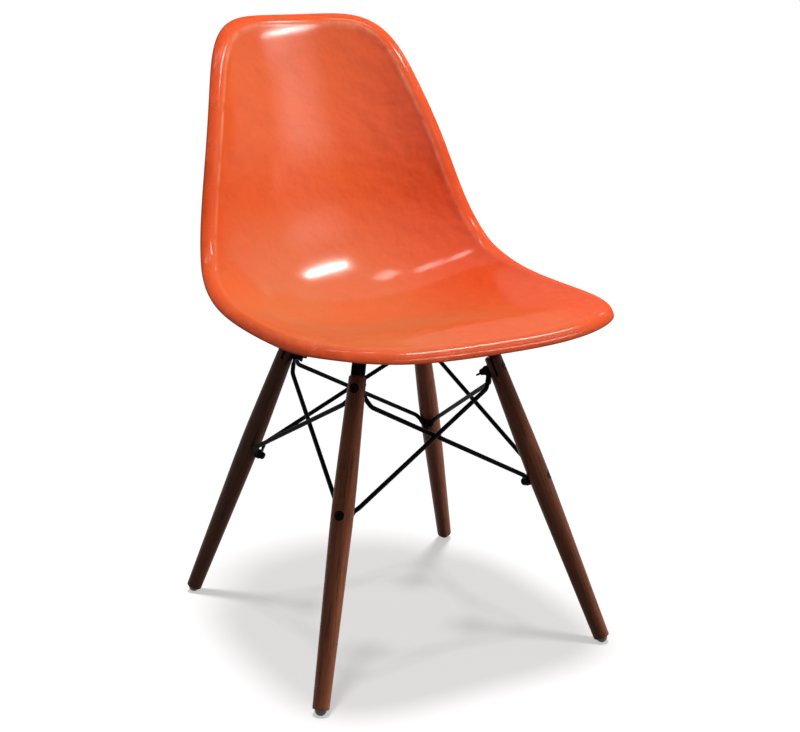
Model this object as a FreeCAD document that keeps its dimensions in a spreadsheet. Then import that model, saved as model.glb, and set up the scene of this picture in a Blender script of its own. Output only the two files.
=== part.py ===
import FreeCAD, Part
import math
import os
import Sketcher

V = FreeCAD.Vector
UP = V(0, 0, 1)

# Driving sizes, millimetres unless the name ends in _deg
SIZES = (
    # moulded shell
    ("wall", 3.5),
    ("rim_roll", 15.8),
    ("rim_roll_deg", 85.0),
    # turned leg, measured along its own axis from the floor
    ("foot_spread", 210.0),
    ("leg_rake", 0.292),
    ("leg_foot", 8.2),
    ("leg_belly", 257.5),
    ("leg_top", 415.5),
    ("leg_foot_dia", 21.0),
    ("leg_belly_dia", 29.2),
    ("leg_belly_round", 2300.0),
    ("leg_top_dia", 22.0),
    ("leg_top_round", 2.6),
    ("leg_foot_round", 1.2),
    ("slot_width", 3.3),
    ("slot_floor", 389.5),
    # bolts through the legs
    ("upper_bolt_at", 399.2),
    ("lower_bolt_at", 242.3),
    ("bolt_dia", 6.0),
    ("bolt_hole", 6.4),
    ("head_dia", 12.0),
    ("head_height", 3.2),
    ("head_recess", 3.9),
    ("head_clearance", 0.25),
    ("socket_flats", 4.0),
    ("socket_depth", 1.8),
    ("thread_clearance", 0.05),
    # struts between the legs
    ("rod_dia", 6.0),
    ("rod_crossing_gap", 0.6),
    ("eye_dia", 13.0),
    ("eye_thick", 2.5),
    ("tab_width", 9.5),
    ("tab_length", 8.5),
    ("tab_blend", 5.0),
    ("stack_gap", 0.05),
    ("knee_along", 20.0),
    ("knee_out", 4.7),
    ("knee_drop", 25.1),
    ("knee_bend", 14.0),
    ("ankle_along", 21.5),
    ("ankle_out", -1.0),
    ("ankle_rise", 5.7),
    ("ankle_bend", 12.0),
    # nuts
    ("cap_nut_flats", 10.0),
    ("cap_nut_hex", 3.6),
    ("cap_nut_dome", 9.4),
    ("cap_nut_height", 6.6),
    ("cap_nut_bore", 5.2),
    ("wing_washer_dia", 12.0),
    ("wing_washer_thick", 1.0),
    ("wing_hub_base", 10.5),
    ("wing_hub_top", 8.0),
    ("wing_hub_height", 5.5),
    ("wing_span", 21.0),
    ("wing_rise", 9.5),
    ("wing_thick", 2.0),
    ("bolt_tip", 1.2),
    # shell mounts and brackets
    ("tongue_offset", 11.0),
    ("mount_dia", 37.0),
    ("mount_height", 12.0),
    ("mount_round", 1.5),
    ("mount_gap", 0.05),
    ("insert_flange_dia", 24.0),
    ("insert_flange_thick", 1.6),
    ("insert_boss_dia", 11.0),
    ("insert_height", 8.5),
    ("insert_clearance", 0.05),
    ("plate_thick", 3.0),
    ("pad_radial", 42.0),
    ("pad_across", 42.0),
    ("pad_corner", 5.0),
    ("tongue_width", 18.0),
    ("tongue_floor_gap", 0.6),
    ("shell_bolt_head_dia", 10.0),
    ("shell_bolt_head_height", 3.3),
    ("shell_bolt_reach", 7.0),
    ("shell_washer_dia", 12.0),
    ("shell_washer_thick", 1.2),
    # floor glides
    ("glide_radius", 7.5),
    ("glide_flat", 4.2),
    ("nail_dia", 2.4),
    ("nail_length", 16.0),
    ("nail_head_dia", 5.0),
    ("nail_head_thick", 0.8),
    ("nail_head_depth", 3.2),
    ("nail_clearance", 0.05),
)

# Corners in turn, anticlockwise seen from above; the sitter faces -Y
CORNERS = (
    ("front_right", -1, -1),
    ("front_left", 1, -1),
    ("rear_left", 1, 1),
    ("rear_right", -1, 1),
)

# Middle line of the shell from the front lip to the top edge: place along Y, height, half width
# of the shell there, how far its side edge stands up, and the slope that the side stands square to
STATIONS = (
    ("lip", -240, 451.5, 227.5, 14.5, 12),
    ("crest", -193, 458, 219, 4.5, -3),
    ("seat_front", -141, 447, 217, 15.5, -13),
    ("seat_middle", -43, 427, 215, 34.5, -12),
    ("seat_low", 39, 411, 209.5, 56, -5),
    ("seat_rear", 109, 414, 202, 69, 17),
    ("hip", 157.5, 449.5, 195, 65.5, 42),
    ("lumbar", 197.5, 520, 181, 59.5, 62),
    ("middle_back", 227, 614.5, 161.5, 56.5, 70.5),
    ("upper_back", 255.5, 704.5, 145.5, 52, 75),
    ("top", 273.5, 786, 142, 44.5, 80.5),
)
SECTION_POWER = 2.3
FRONT_CORNER_POWER = 4.2
TOP_CORNER_POWER = 5.35
# Station that the outline is widest at
OUTLINE_MIDDLE = 4.5
RIM_POINTS = 60
RING_SHARES = (0.15, 0.3, 0.45, 0.6, 0.72, 0.84, 0.93, 1.0)
ROLL_SHARES = (0.235, 0.494, 0.753, 1.0)

doc = FreeCAD.newDocument("shell_chair")
sheet = doc.addObject("Spreadsheet::Sheet", "sizes")
for row, (name, value) in enumerate(SIZES, 1):
    sheet.set("A%d" % row, name)
    sheet.set("B%d" % row, str(value))
    sheet.setAlias("B%d" % row, name)
doc.recompute()


def mm(name):
    return float(sheet.get(name))


def frame(origin, x_axis, z_axis):
    """Placement with its own X and Z along the two directions given."""
    z_axis = V(z_axis).normalize()
    y_axis = z_axis.cross(x_axis).normalize()
    x_axis = y_axis.cross(z_axis)
    matrix = FreeCAD.Matrix(
        x_axis.x, y_axis.x, z_axis.x, origin.x,
        x_axis.y, y_axis.y, z_axis.y, origin.y,
        x_axis.z, y_axis.z, z_axis.z, origin.z,
        0, 0, 0, 1)
    return FreeCAD.Placement(matrix)


# Sketches and features

def sketch(body, name, role, lift=None, offset=None):
    plane = [item for item in body.Origin.OriginFeatures if item.Role == role][0]
    made = body.newObject("Sketcher::SketchObject", name)
    made.AttachmentSupport = (plane, [""])
    made.MapMode = "FlatFace"
    if offset is not None:
        made.AttachmentOffset = offset
    if lift is not None:
        made.setExpression("AttachmentOffset.Base.z", lift)
    return made


def bind(made, kind, geometry, point, text, start):
    """One dimension from the sketch's origin, driven by an expression."""
    index = made.addConstraint(Sketcher.Constraint(kind, -1, 1, geometry, point, start))
    made.setExpression("Constraints[%d]" % index, text)


def polygon(made, corners):
    """Closed outline whose corners are pairs of expressions."""
    count = len(corners)
    first = made.GeometryCount
    start = []
    for i in range(count):
        turn = 2 * math.pi * i / count
        start.append(V(30 + 10 * math.cos(turn), 30 + 10 * math.sin(turn), 0))
    for i in range(count):
        made.addGeometry(Part.LineSegment(start[i], start[(i + 1) % count]), False)
    for i in range(count):
        made.addConstraint(Sketcher.Constraint("Coincident", first + i, 2, first + (i + 1) % count, 1))
    for i, (across, along) in enumerate(corners):
        bind(made, "DistanceX", first + i, 1, across, start[i].x)
        bind(made, "DistanceY", first + i, 1, along, start[i].y)


def rectangle(made, width, low, high):
    """Rectangle centred on the sketch's upright axis."""
    polygon(made, (
        ("-(%s) / 2" % width, low),
        ("(%s) / 2" % width, low),
        ("(%s) / 2" % width, high),
        ("-(%s) / 2" % width, high)))


def circle(made, diameter, across="0", along="0"):
    index = made.addGeometry(Part.Circle(V(5, 5, 0), UP, 5), False)
    bind(made, "DistanceX", index, 3, across, 5.0)
    bind(made, "DistanceY", index, 3, along, 5.0)
    size = made.addConstraint(Sketcher.Constraint("Diameter", index, 10.0))
    made.setExpression("Constraints[%d]" % size, diameter)


def hexagon(made, flats):
    """Hexagon with its size given across the flats."""
    point = "(%s) * %.6f" % (flats, 1 / math.sqrt(3))
    half_point = "(%s) * %.6f" % (flats, 0.5 / math.sqrt(3))
    half = "(%s) / 2" % flats
    polygon(made, (
        (point, "0"),
        (half_point, half),
        ("-" + half_point, half),
        ("-" + point, "0"),
        ("-" + half_point, "-" + half),
        (half_point, "-" + half)))


def revolve(body, name, corners):
    """Turned piece about the body's own Z axis."""
    made = sketch(body, name + "_profile", "XZ_Plane")
    polygon(made, corners)
    turned = body.newObject("PartDesign::Revolution", name)
    turned.Profile = made
    turned.ReferenceAxis = (made, ["V_Axis"])
    turned.Angle = 360
    return turned


def pad(body, name, made, length, both_ways=False):
    raised = body.newObject("PartDesign::Pad", name)
    raised.Profile = made
    raised.setExpression("Length", length)
    raised.Midplane = both_ways
    return raised


def pocket(body, name, made, length=None, upward=False):
    """Cuts right through, both ways, unless a length is given."""
    cut = body.newObject("PartDesign::Pocket", name)
    cut.Profile = made
    if length is None:
        cut.Type = "ThroughAll"
        cut.Midplane = True
    else:
        cut.setExpression("Length", length)
        cut.Reversed = upward
    return cut


def fillet(body, name, base, wanted, radius):
    """Rounds the edges of a feature that pass the test."""
    doc.recompute()
    edges = []
    for number, edge in enumerate(base.Shape.Edges, 1):
        if wanted(edge):
            edges.append("Edge%d" % number)
    rounded = body.newObject("PartDesign::Fillet", name)
    rounded.Base = (base, edges)
    rounded.setExpression("Radius", radius)
    return rounded


def ring_at(height, diameter=None):
    """Test for a circle round Z at a height, and of a diameter if one is given."""
    def test(edge):
        points = edge.discretize(9)
        if any(abs(point.z - height) > 0.01 for point in points):
            return False
        reaches = [math.hypot(point.x, point.y) for point in points]
        if max(reaches) - min(reaches) > 0.02:
            return False
        return diameter is None or abs(2 * reaches[0] - diameter) < 0.05
    return test


def new_body(name):
    return doc.addObject("PartDesign::Body", name)


nodes = []


def keep(item, name):
    """Gives the finished piece its name as a node of the part."""
    item.Label = name
    nodes.append(item)


# Seat shell

class Spline:
    """Natural cubic through evenly spaced values."""

    def __init__(self, values):
        count = len(values)
        self.values = [float(value) for value in values]
        self.bend = [0.0] * count
        upper = [0.0] * count
        right = [0.0] * count
        for i in range(1, count - 1):
            step = 6 * (values[i + 1] - 2 * values[i] + values[i - 1])
            pivot = 4.0 - upper[i - 1]
            upper[i] = 1.0 / pivot
            right[i] = (step - right[i - 1]) / pivot
        for i in range(count - 2, 0, -1):
            self.bend[i] = right[i] - upper[i] * self.bend[i + 1]

    def at(self, place):
        i = min(max(int(math.floor(place)), 0), len(self.values) - 2)
        part = place - i
        rest = 1 - part
        line = self.values[i] * rest + self.values[i + 1] * part
        curve = (rest ** 3 - rest) * self.bend[i] + (part ** 3 - part) * self.bend[i + 1]
        return line + curve / 6


LINE_Y = Spline([station[1] for station in STATIONS])
LINE_Z = Spline([station[2] for station in STATIONS])
HALF_WIDTH = Spline([station[3] for station in STATIONS])
SIDE_RISE = Spline([station[4] for station in STATIONS])
SIDE_LEAN = Spline([station[5] for station in STATIONS])
LAST = len(STATIONS) - 1


def shell_point(across, place):
    """Upper face of the shell: across from -1 to 1, place from 0 at the lip to 10 at the top."""
    lean = math.radians(SIDE_LEAN.at(place))
    rise = SIDE_RISE.at(place) * abs(across) ** SECTION_POWER
    return V(
        HALF_WIDTH.at(place) * across,
        LINE_Y.at(place) - math.sin(lean) * rise,
        LINE_Z.at(place) + math.cos(lean) * rise)


def shell_normal(across, place):
    step = 1e-3
    side = shell_point(across + step, place) - shell_point(across - step, place)
    along = shell_point(across, place + step) - shell_point(across, place - step)
    return side.cross(along).normalize()


def shell_edge(turn, share):
    """Rounded outline of the shell, drawn in by a share from 0 to 1."""
    c = math.cos(turn)
    s = math.sin(turn)
    power = FRONT_CORNER_POWER if s < 0 else TOP_CORNER_POWER
    reach = share * (abs(c) ** power + abs(s) ** power) ** (-1 / power)
    side = OUTLINE_MIDDLE if s < 0 else LAST - OUTLINE_MIDDLE
    return reach * c, OUTLINE_MIDDLE + reach * s * side


def shell_ring(share, drop):
    ring = []
    for i in range(RIM_POINTS):
        across, place = shell_edge(-math.pi / 2 + 2 * math.pi * i / RIM_POINTS, share)
        ring.append(shell_point(across, place) - shell_normal(across, place) * drop)
    return ring


def roll_ring(turn, drop):
    """Ring of the rolled rim: the wall bends down round a circle outside the outline."""
    ring = []
    bend = mm("rim_roll") - drop
    for i in range(RIM_POINTS):
        angle = -math.pi / 2 + 2 * math.pi * i / RIM_POINTS
        here = shell_point(*shell_edge(angle, 1.0))
        before = shell_point(*shell_edge(angle - 1e-3, 1.0))
        after = shell_point(*shell_edge(angle + 1e-3, 1.0))
        normal = shell_normal(*shell_edge(angle, 1.0))
        outward = (after - before).normalize().cross(normal)
        centre = here - normal * mm("rim_roll")
        ring.append(centre + outward * (bend * math.sin(turn)) + normal * (bend * math.cos(turn)))
    return ring


def shell_skin(drop):
    """One face of the shell, from its middle out to the rolled edge, as two halves."""
    full_turn = math.radians(mm("rim_roll_deg"))
    rings = [shell_ring(share, drop) for share in RING_SHARES]
    rings += [roll_ring(share * full_turn, drop) for share in ROLL_SHARES]
    reach = 230.0
    stops = [0.0] + [share * reach for share in RING_SHARES]
    stops += [reach + mm("rim_roll") * share * full_turn for share in ROLL_SHARES]
    middle_across, middle_place = shell_edge(0.0, 0.0)
    middle = shell_point(middle_across, middle_place) - shell_normal(middle_across, middle_place) * drop
    around = []
    for ring in rings:
        curve = Part.BSplineCurve()
        knots = [float(i) for i in range(RIM_POINTS + 1)]
        curve.interpolate(Points=ring, PeriodicFlag=True, Parameters=knots)
        around.append(curve)
    ribs = []
    for number in range(1, around[0].NbPoles + 1):
        rib = Part.BSplineCurve()
        rib.interpolate(Points=[middle] + [curve.getPole(number) for curve in around], Parameters=stops)
        ribs.append(rib)
    surface = Part.BSplineSurface()
    surface.buildFromPolesMultsKnots(
        [rib.getPoles() for rib in ribs],
        around[0].getMultiplicities(), ribs[0].getMultiplicities(),
        around[0].getKnots(), ribs[0].getKnots(),
        True, False, 3, 3)
    halves = []
    for start, stop in ((0.0, RIM_POINTS / 2), (RIM_POINTS / 2, float(RIM_POINTS))):
        half = surface.copy()
        half.segment(start, stop, 0.0, stops[-1])
        halves.append(half.toShape())
    return halves


def rolled_edge(half):
    """The edge of a half skin that runs along the rolled rim."""
    u_low, u_high, v_low, v_high = half.Surface.bounds()
    tip = Part.Vertex(half.Surface.value((u_low + u_high) / 2, v_high))
    open_edges = [edge for edge in half.Edges if not edge.Degenerated]
    return min(open_edges, key=lambda edge: edge.distToShape(tip)[0])


def shell_solid():
    upper = shell_skin(0.0)
    lower = shell_skin(mm("wall"))
    faces = upper + lower
    for above, below in zip(upper, lower):
        faces += Part.makeRuledSurface(rolled_edge(above), rolled_edge(below)).Faces
    joined = Part.makeCompound(faces)
    joined.sewShape()
    solid = Part.makeSolid(joined.Shells[0])
    if solid.Volume < 0:
        solid.reverse()
    return solid


def shell_place(x, y):
    """Place on the seat of the shell that lies over x and y."""
    across = x / HALF_WIDTH.at(3)
    place = 3.0
    for _ in range(40):
        here = shell_point(across, place)
        across += (x - here.x) / HALF_WIDTH.at(place)
        place += (y - here.y) / 90.0
    return across, place


shell = doc.addObject("Part::Feature", "seat_shell")
shell.Shape = shell_solid()
extent = shell.Shape.optimalBoundingBox()
# The part stands with the middle of its box over the origin
SHIFT = V(0, -(extent.YMin + extent.YMax) / 2, 0)
shell.Placement = FreeCAD.Placement(SHIFT, FreeCAD.Rotation())
keep(shell, "seat_shell")


# Frames of the legs and their bolts

LEG_STRETCH = math.sqrt(1 + 2 * mm("leg_rake") ** 2)


def leg_axis(sx, sy):
    rake = mm("leg_rake")
    return V(-sx * rake, -sy * rake, 1).normalize()


def leg_outward(sx, sy):
    """Square to the leg's axis, pointing away from the middle of the chair."""
    flat = V(sx, sy, 0).normalize()
    axis = leg_axis(sx, sy)
    return (flat - axis * flat.dot(axis)).normalize()


def on_leg(sx, sy, along):
    """Point of the leg's axis, a distance up the leg from the floor."""
    start = V(sx * mm("foot_spread"), sy * mm("foot_spread"), 0)
    return start + leg_axis(sx, sy) * along + SHIFT


def leg_frame(sx, sy):
    """X points outward, Z runs up the leg and the origin is on the floor."""
    return frame(on_leg(sx, sy, 0), leg_outward(sx, sy), leg_axis(sx, sy))


def bolt_frame(sx, sy, along):
    """Z points inward along a bolt and the origin is on the leg's axis."""
    return frame(on_leg(sx, sy, along), leg_axis(sx, sy), leg_outward(sx, sy) * -1)


# Frames of the shell mounts

def seated_frame(sx, sy, reach):
    """Z square to the shell, the origin as close under it as the mount's flat top can lie."""
    across, place = shell_place(sx * reach, sy * reach)
    normal = shell_normal(across, place)
    under = shell_point(across, place) - normal * mm("wall")
    outward = V(sx, sy, 0)
    drop = mm("mount_gap")
    made = frame(under - normal * drop, outward, normal)
    worst = 0.0
    for radius in (mm("mount_dia") / 2, mm("mount_dia") / 4):
        for step in range(24):
            turn = math.radians(15 * step)
            rim = made.multVec(V(radius * math.cos(turn), radius * math.sin(turn), 0))
            near = shell_place(rim.x, rim.y)
            gap = (shell_point(*near) - rim).dot(shell_normal(*near)) - mm("wall")
            worst = max(worst, mm("mount_gap") - gap)
    return frame(under - normal * (drop + worst) + SHIFT, outward, normal)


def pad_middle(top):
    """Middle of the bracket's pad below a mount."""
    return top.multVec(V(0, 0, -mm("mount_height") - mm("plate_thick") / 2))


def tongue_height(top, sx, sy):
    """How far up the leg's axis the middle plane of the pad lies."""
    normal = top.Rotation.multVec(UP)
    return (pad_middle(top) - on_leg(sx, sy, 0)).dot(normal) / leg_axis(sx, sy).dot(normal)


def mount_frame(sx, sy):
    """Mount whose pad meets the tongue at the set distance from the mount's middle."""
    reach = mm("foot_spread") * 0.37
    for _ in range(8):
        top = seated_frame(sx, sy, reach)
        meet = on_leg(sx, sy, tongue_height(top, sx, sy))
        offset = (meet - pad_middle(top)).dot(V(sx, sy, 0).normalize())
        reach += (offset - mm("tongue_offset")) / math.sqrt(2)
    return seated_frame(sx, sy, reach)


MOUNTS = {}
for corner, sx, sy in CORNERS:
    MOUNTS[corner] = mount_frame(sx, sy)


# Legs

def leg_profile(body, name):
    """Half outline of the leg: two straight tapers that meet in a soft belly."""
    made = sketch(body, name, "XZ_Plane")
    foot = V(mm("leg_foot_dia") / 2, mm("leg_foot"), 0)
    belly = V(mm("leg_belly_dia") / 2, mm("leg_belly"), 0)
    top = V(mm("leg_top_dia") / 2, mm("leg_top"), 0)
    down = (foot - belly).normalize()
    up = (top - belly).normalize()
    half = down.getAngle(up) / 2
    radius = mm("leg_belly_round")
    centre = belly + (down + up).normalize() * (radius / math.sin(half))
    reach = radius / math.tan(half)
    low = belly + down * reach
    high = belly + up * reach
    middle = centre + (belly - centre).normalize() * radius
    made.addGeometry(Part.LineSegment(V(0, foot.y, 0), foot), False)
    made.addGeometry(Part.LineSegment(foot, low), False)
    made.addGeometry(Part.Arc(low, middle, high), False)
    made.addGeometry(Part.LineSegment(high, top), False)
    made.addGeometry(Part.LineSegment(top, V(0, top.y, 0)), False)
    made.addGeometry(Part.LineSegment(V(0, top.y, 0), V(0, foot.y, 0)), False)
    made.addGeometry(Part.Point(belly), True)
    for first, second in ((0, 1), (3, 4), (4, 5), (5, 0)):
        made.addConstraint(Sketcher.Constraint("Coincident", first, 2, second, 1))
    made.addConstraint(Sketcher.Constraint("Tangent", 1, 2, 2, 1))
    made.addConstraint(Sketcher.Constraint("Tangent", 2, 2, 3, 1))
    made.addConstraint(Sketcher.Constraint("PointOnObject", 6, 1, 1))
    made.addConstraint(Sketcher.Constraint("PointOnObject", 6, 1, 3))
    size = made.addConstraint(Sketcher.Constraint("Radius", 2, radius))
    made.setExpression("Constraints[%d]" % size, "sizes.leg_belly_round")
    bind(made, "DistanceX", 0, 1, "0", 0.0)
    bind(made, "DistanceX", 5, 1, "0", 0.0)
    bind(made, "DistanceY", 0, 1, "sizes.leg_foot", foot.y)
    bind(made, "DistanceX", 1, 1, "sizes.leg_foot_dia / 2", foot.x)
    bind(made, "DistanceY", 1, 1, "sizes.leg_foot", foot.y)
    bind(made, "DistanceX", 6, 1, "sizes.leg_belly_dia / 2", belly.x)
    bind(made, "DistanceY", 6, 1, "sizes.leg_belly", belly.y)
    bind(made, "DistanceX", 3, 2, "sizes.leg_top_dia / 2", top.x)
    bind(made, "DistanceY", 3, 2, "sizes.leg_top", top.y)
    bind(made, "DistanceY", 5, 1, "sizes.leg_top", top.y)
    return made


def turned_leg(name, sx, sy):
    body = new_body(name)
    made = leg_profile(body, name + "_profile")
    turned = body.newObject("PartDesign::Revolution", name + "_turned")
    turned.Profile = made
    turned.ReferenceAxis = (made, ["V_Axis"])
    turned.Angle = 360
    shoulder = fillet(body, name + "_shoulder", turned, ring_at(mm("leg_top")), "sizes.leg_top_round")
    foot = fillet(body, name + "_foot_edge", shoulder, ring_at(mm("leg_foot")), "sizes.leg_foot_round")
    doc.recompute()
    full = foot.Shape.Volume
    made = sketch(body, name + "_slot_outline", "XZ_Plane")
    rectangle(made, "sizes.slot_width", "sizes.slot_floor", "sizes.leg_top + 5")
    pocket(body, name + "_slot", made)
    made = sketch(body, name + "_hole_outlines", "YZ_Plane")
    circle(made, "sizes.bolt_hole", "0", "sizes.upper_bolt_at")
    circle(made, "sizes.bolt_hole", "0", "sizes.lower_bolt_at")
    pocket(body, name + "_holes", made)
    for level in ("upper", "lower"):
        at = "sizes.%s_bolt_at" % level
        seat = head_seat(turned, mm(level + "_bolt_at"))
        offset = FreeCAD.Placement(V(0, 0, seat + 10), FreeCAD.Rotation())
        made = sketch(body, "%s_%s_head" % (name, level), "YZ_Plane", offset=offset)
        circle(made, "sizes.head_dia + 2 * sizes.head_clearance", "0", at)
        pocket(body, "%s_%s_recess" % (name, level), made, "10")
    made = sketch(body, name + "_nail_outline", "XY_Plane", "sizes.leg_foot")
    circle(made, "sizes.nail_dia + 2 * sizes.nail_clearance")
    pocket(body, name + "_nail_hole", made, "sizes.nail_length + 1", upward=True)
    doc.recompute()
    if body.Shape.Volume > full - 500:
        raise RuntimeError("cuts missed the leg")
    body.Placement = leg_frame(sx, sy)
    keep(body, name)
    return turned


def leg_radius(turned, along):
    """Radius of the turned wood at a distance up the leg."""
    slice_wire = turned.Shape.slice(UP, along)[0]
    return max(math.hypot(point.x, point.y) for point in slice_wire.discretize(12))


def head_seat(turned, along):
    """How far from the leg's axis a bolt's head seats."""
    return leg_radius(turned, along) - mm("head_recess")


def stack_start(turned, along):
    """How far from the axis the first strut eye lies, clear of the round leg."""
    reach = mm("eye_dia") / 2
    widest = max(leg_radius(turned, along + step) for step in (-reach, 0, reach))
    return widest + mm("stack_gap")


TURNED = None
for corner, sx, sy in CORNERS:
    TURNED = turned_leg("leg_" + corner, sx, sy)

# Distances from the leg's axis, inward, of what each bolt holds
SEAT = {}
INNER_EYE = {}
OUTER_EYE = {}
STACK_END = {}
for level in ("upper", "lower"):
    at = mm(level + "_bolt_at")
    SEAT[level] = head_seat(TURNED, at)
    INNER_EYE[level] = stack_start(TURNED, at)
    OUTER_EYE[level] = INNER_EYE[level] + mm("eye_thick") + mm("stack_gap")
    STACK_END[level] = OUTER_EYE[level] + mm("eye_thick") + mm("stack_gap")


# Bolts through the legs

def cut_socket(body, name, top):
    """Hexagon socket cut from 1 mm above a head's face."""
    offset = FreeCAD.Placement(V(0, 0, top - 1), FreeCAD.Rotation())
    made = sketch(body, name + "_socket_outline", "XY_Plane", offset=offset)
    hexagon(made, "sizes.socket_flats")
    pocket(body, name + "_socket", made, "sizes.socket_depth + 1", upward=True)


def leg_bolt(name, level, reach, sx, sy):
    """Round head with a socket outside, shank inward to its reach."""
    body = new_body(name)
    seat = SEAT[level]
    turned = revolve(body, name + "_turned", (
        ("0", "%.6f" % reach),
        ("0", "-%.6f - sizes.head_height" % seat),
        ("sizes.head_dia / 2", "-%.6f - sizes.head_height" % seat),
        ("sizes.head_dia / 2", "-%.6f" % seat),
        ("sizes.bolt_dia / 2", "-%.6f" % seat),
        ("sizes.bolt_dia / 2", "%.6f" % reach)))
    top = -seat - mm("head_height")
    rounded = fillet(body, name + "_crown", turned, ring_at(top), "sizes.head_height * 0.6")
    tip = fillet(body, name + "_tip", rounded, ring_at(reach), "0.6")
    doc.recompute()
    before = tip.Shape.Volume
    cut_socket(body, name, top)
    doc.recompute()
    if body.Shape.Volume > before - 5:
        raise RuntimeError("socket missed the head")
    body.Placement = bolt_frame(sx, sy, mm(level + "_bolt_at"))
    keep(body, name)


WING_BASE = STACK_END["upper"] + mm("wing_washer_thick") + mm("stack_gap")
CAP_BASE = STACK_END["lower"]
UPPER_REACH = WING_BASE + mm("wing_hub_height") + mm("bolt_tip")
LOWER_REACH = CAP_BASE + mm("cap_nut_bore") - 0.3
for corner, sx, sy in CORNERS:
    leg_bolt("upper_bolt_" + corner, "upper", UPPER_REACH, sx, sy)
    leg_bolt("lower_bolt_" + corner, "lower", LOWER_REACH, sx, sy)


# Nuts on the inner ends of the bolts

def cap_nut(name, sx, sy):
    body = new_body(name)
    made = sketch(body, name + "_flats", "XY_Plane")
    hexagon(made, "sizes.cap_nut_flats")
    pad(body, name + "_hex", made, "sizes.cap_nut_hex")
    dome = revolve(body, name + "_dome", (
        ("0", "sizes.cap_nut_hex / 2"),
        ("sizes.cap_nut_dome / 2", "sizes.cap_nut_hex / 2"),
        ("sizes.cap_nut_dome / 2", "sizes.cap_nut_height"),
        ("0", "sizes.cap_nut_height")))
    crown = "sizes.cap_nut_height - sizes.cap_nut_hex - 0.1"
    rounded = fillet(body, name + "_crown", dome, ring_at(mm("cap_nut_height")), crown)
    doc.recompute()
    before = rounded.Shape.Volume
    made = sketch(body, name + "_bore_outline", "XY_Plane")
    circle(made, "sizes.bolt_dia + 2 * sizes.thread_clearance")
    pocket(body, name + "_bore", made, "sizes.cap_nut_bore", upward=True)
    doc.recompute()
    if body.Shape.Volume > before - 50:
        raise RuntimeError("bore missed the nut")
    place = bolt_frame(sx, sy, mm("lower_bolt_at"))
    body.Placement = place * FreeCAD.Placement(V(0, 0, CAP_BASE), FreeCAD.Rotation())
    keep(body, name)


def wing_nut(name, sx, sy, turn):
    body = new_body(name)
    hub = revolve(body, name + "_hub", (
        ("0", "0"),
        ("sizes.wing_hub_base / 2", "0"),
        ("sizes.wing_hub_top / 2", "sizes.wing_hub_height"),
        ("0", "sizes.wing_hub_height")))
    made = sketch(body, name + "_wing_outline", "XZ_Plane")
    root = "sizes.wing_hub_top / 2 - 1"
    tip = "sizes.wing_span / 2"
    for side in ("", "-"):
        polygon(made, (
            (side + "(%s)" % root, "sizes.wing_hub_height * 0.2"),
            (side + "(%s - 2.5)" % tip, "sizes.wing_rise * 0.45"),
            (side + "(%s)" % tip, "sizes.wing_rise * 0.62"),
            (side + "(%s - 0.6)" % tip, "sizes.wing_rise"),
            (side + "(%s - 4)" % tip, "sizes.wing_rise * 0.94"),
            (side + "(%s)" % root, "sizes.wing_hub_height * 0.9")))
    pad(body, name + "_wings", made, "sizes.wing_thick", both_ways=True)
    doc.recompute()
    before = body.Shape.Volume
    if before < hub.Shape.Volume + 50:
        raise RuntimeError("wings missed the hub")
    made = sketch(body, name + "_bore_outline", "XY_Plane")
    circle(made, "sizes.bolt_dia + 2 * sizes.thread_clearance")
    pocket(body, name + "_bore", made)
    doc.recompute()
    if body.Shape.Volume > before - 50:
        raise RuntimeError("bore missed the nut")
    place = bolt_frame(sx, sy, mm("upper_bolt_at"))
    spin = FreeCAD.Rotation(UP, turn)
    body.Placement = place * FreeCAD.Placement(V(0, 0, WING_BASE), spin)
    keep(body, name)


WING_TURN = {"front_right": 20, "front_left": 90, "rear_left": 50, "rear_right": 90}
for corner, sx, sy in CORNERS:
    cap_nut("cap_nut_" + corner, sx, sy)
    wing_nut("wing_nut_" + corner, sx, sy, WING_TURN[corner])


# Washers

def washer(name, outer, inner, thick):
    disc = doc.addObject("Part::Cylinder", name + "_disc")
    disc.setExpression("Radius", "(%s) / 2" % outer)
    disc.setExpression("Height", thick)
    bore = doc.addObject("Part::Cylinder", name + "_bore")
    bore.setExpression("Radius", "(%s) / 2" % inner)
    bore.setExpression("Height", thick)
    cut = doc.addObject("Part::Cut", name)
    cut.Base = disc
    cut.Tool = bore
    return cut


def group(name, links):
    made = doc.addObject("Part::Compound", name)
    made.Links = links
    keep(made, name)


made_washers = []
for corner, sx, sy in CORNERS:
    one = washer("wing_washer_" + corner, "sizes.wing_washer_dia", "sizes.bolt_hole", "sizes.wing_washer_thick")
    lift = FreeCAD.Placement(V(0, 0, STACK_END["upper"]), FreeCAD.Rotation())
    one.Placement = bolt_frame(sx, sy, mm("upper_bolt_at")) * lift
    made_washers.append(one)
group("wing_nut_washers", made_washers)


# Struts

def square_section(centre, across, through, width, thick):
    points = []
    for a, b in ((1, 1), (-1, 1), (-1, -1), (1, -1)):
        points.append(centre + across * (a * width / 2) + through * (b * thick / 2))
    return Part.makePolygon(points + points[:1])


def round_section(centre, across, through, diameter):
    """Circle in four arcs that start where the corners of a square section lie."""
    edges = []
    for step in range(4):
        points = []
        for part in (0, 0.5, 1):
            turn = math.pi / 4 + (step + part) * math.pi / 2
            ray = across * math.cos(turn) + through * math.sin(turn)
            points.append(centre + ray * (diameter / 2))
        edges.append(Part.Arc(*points).toShape())
    return Part.Wire(edges)


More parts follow.
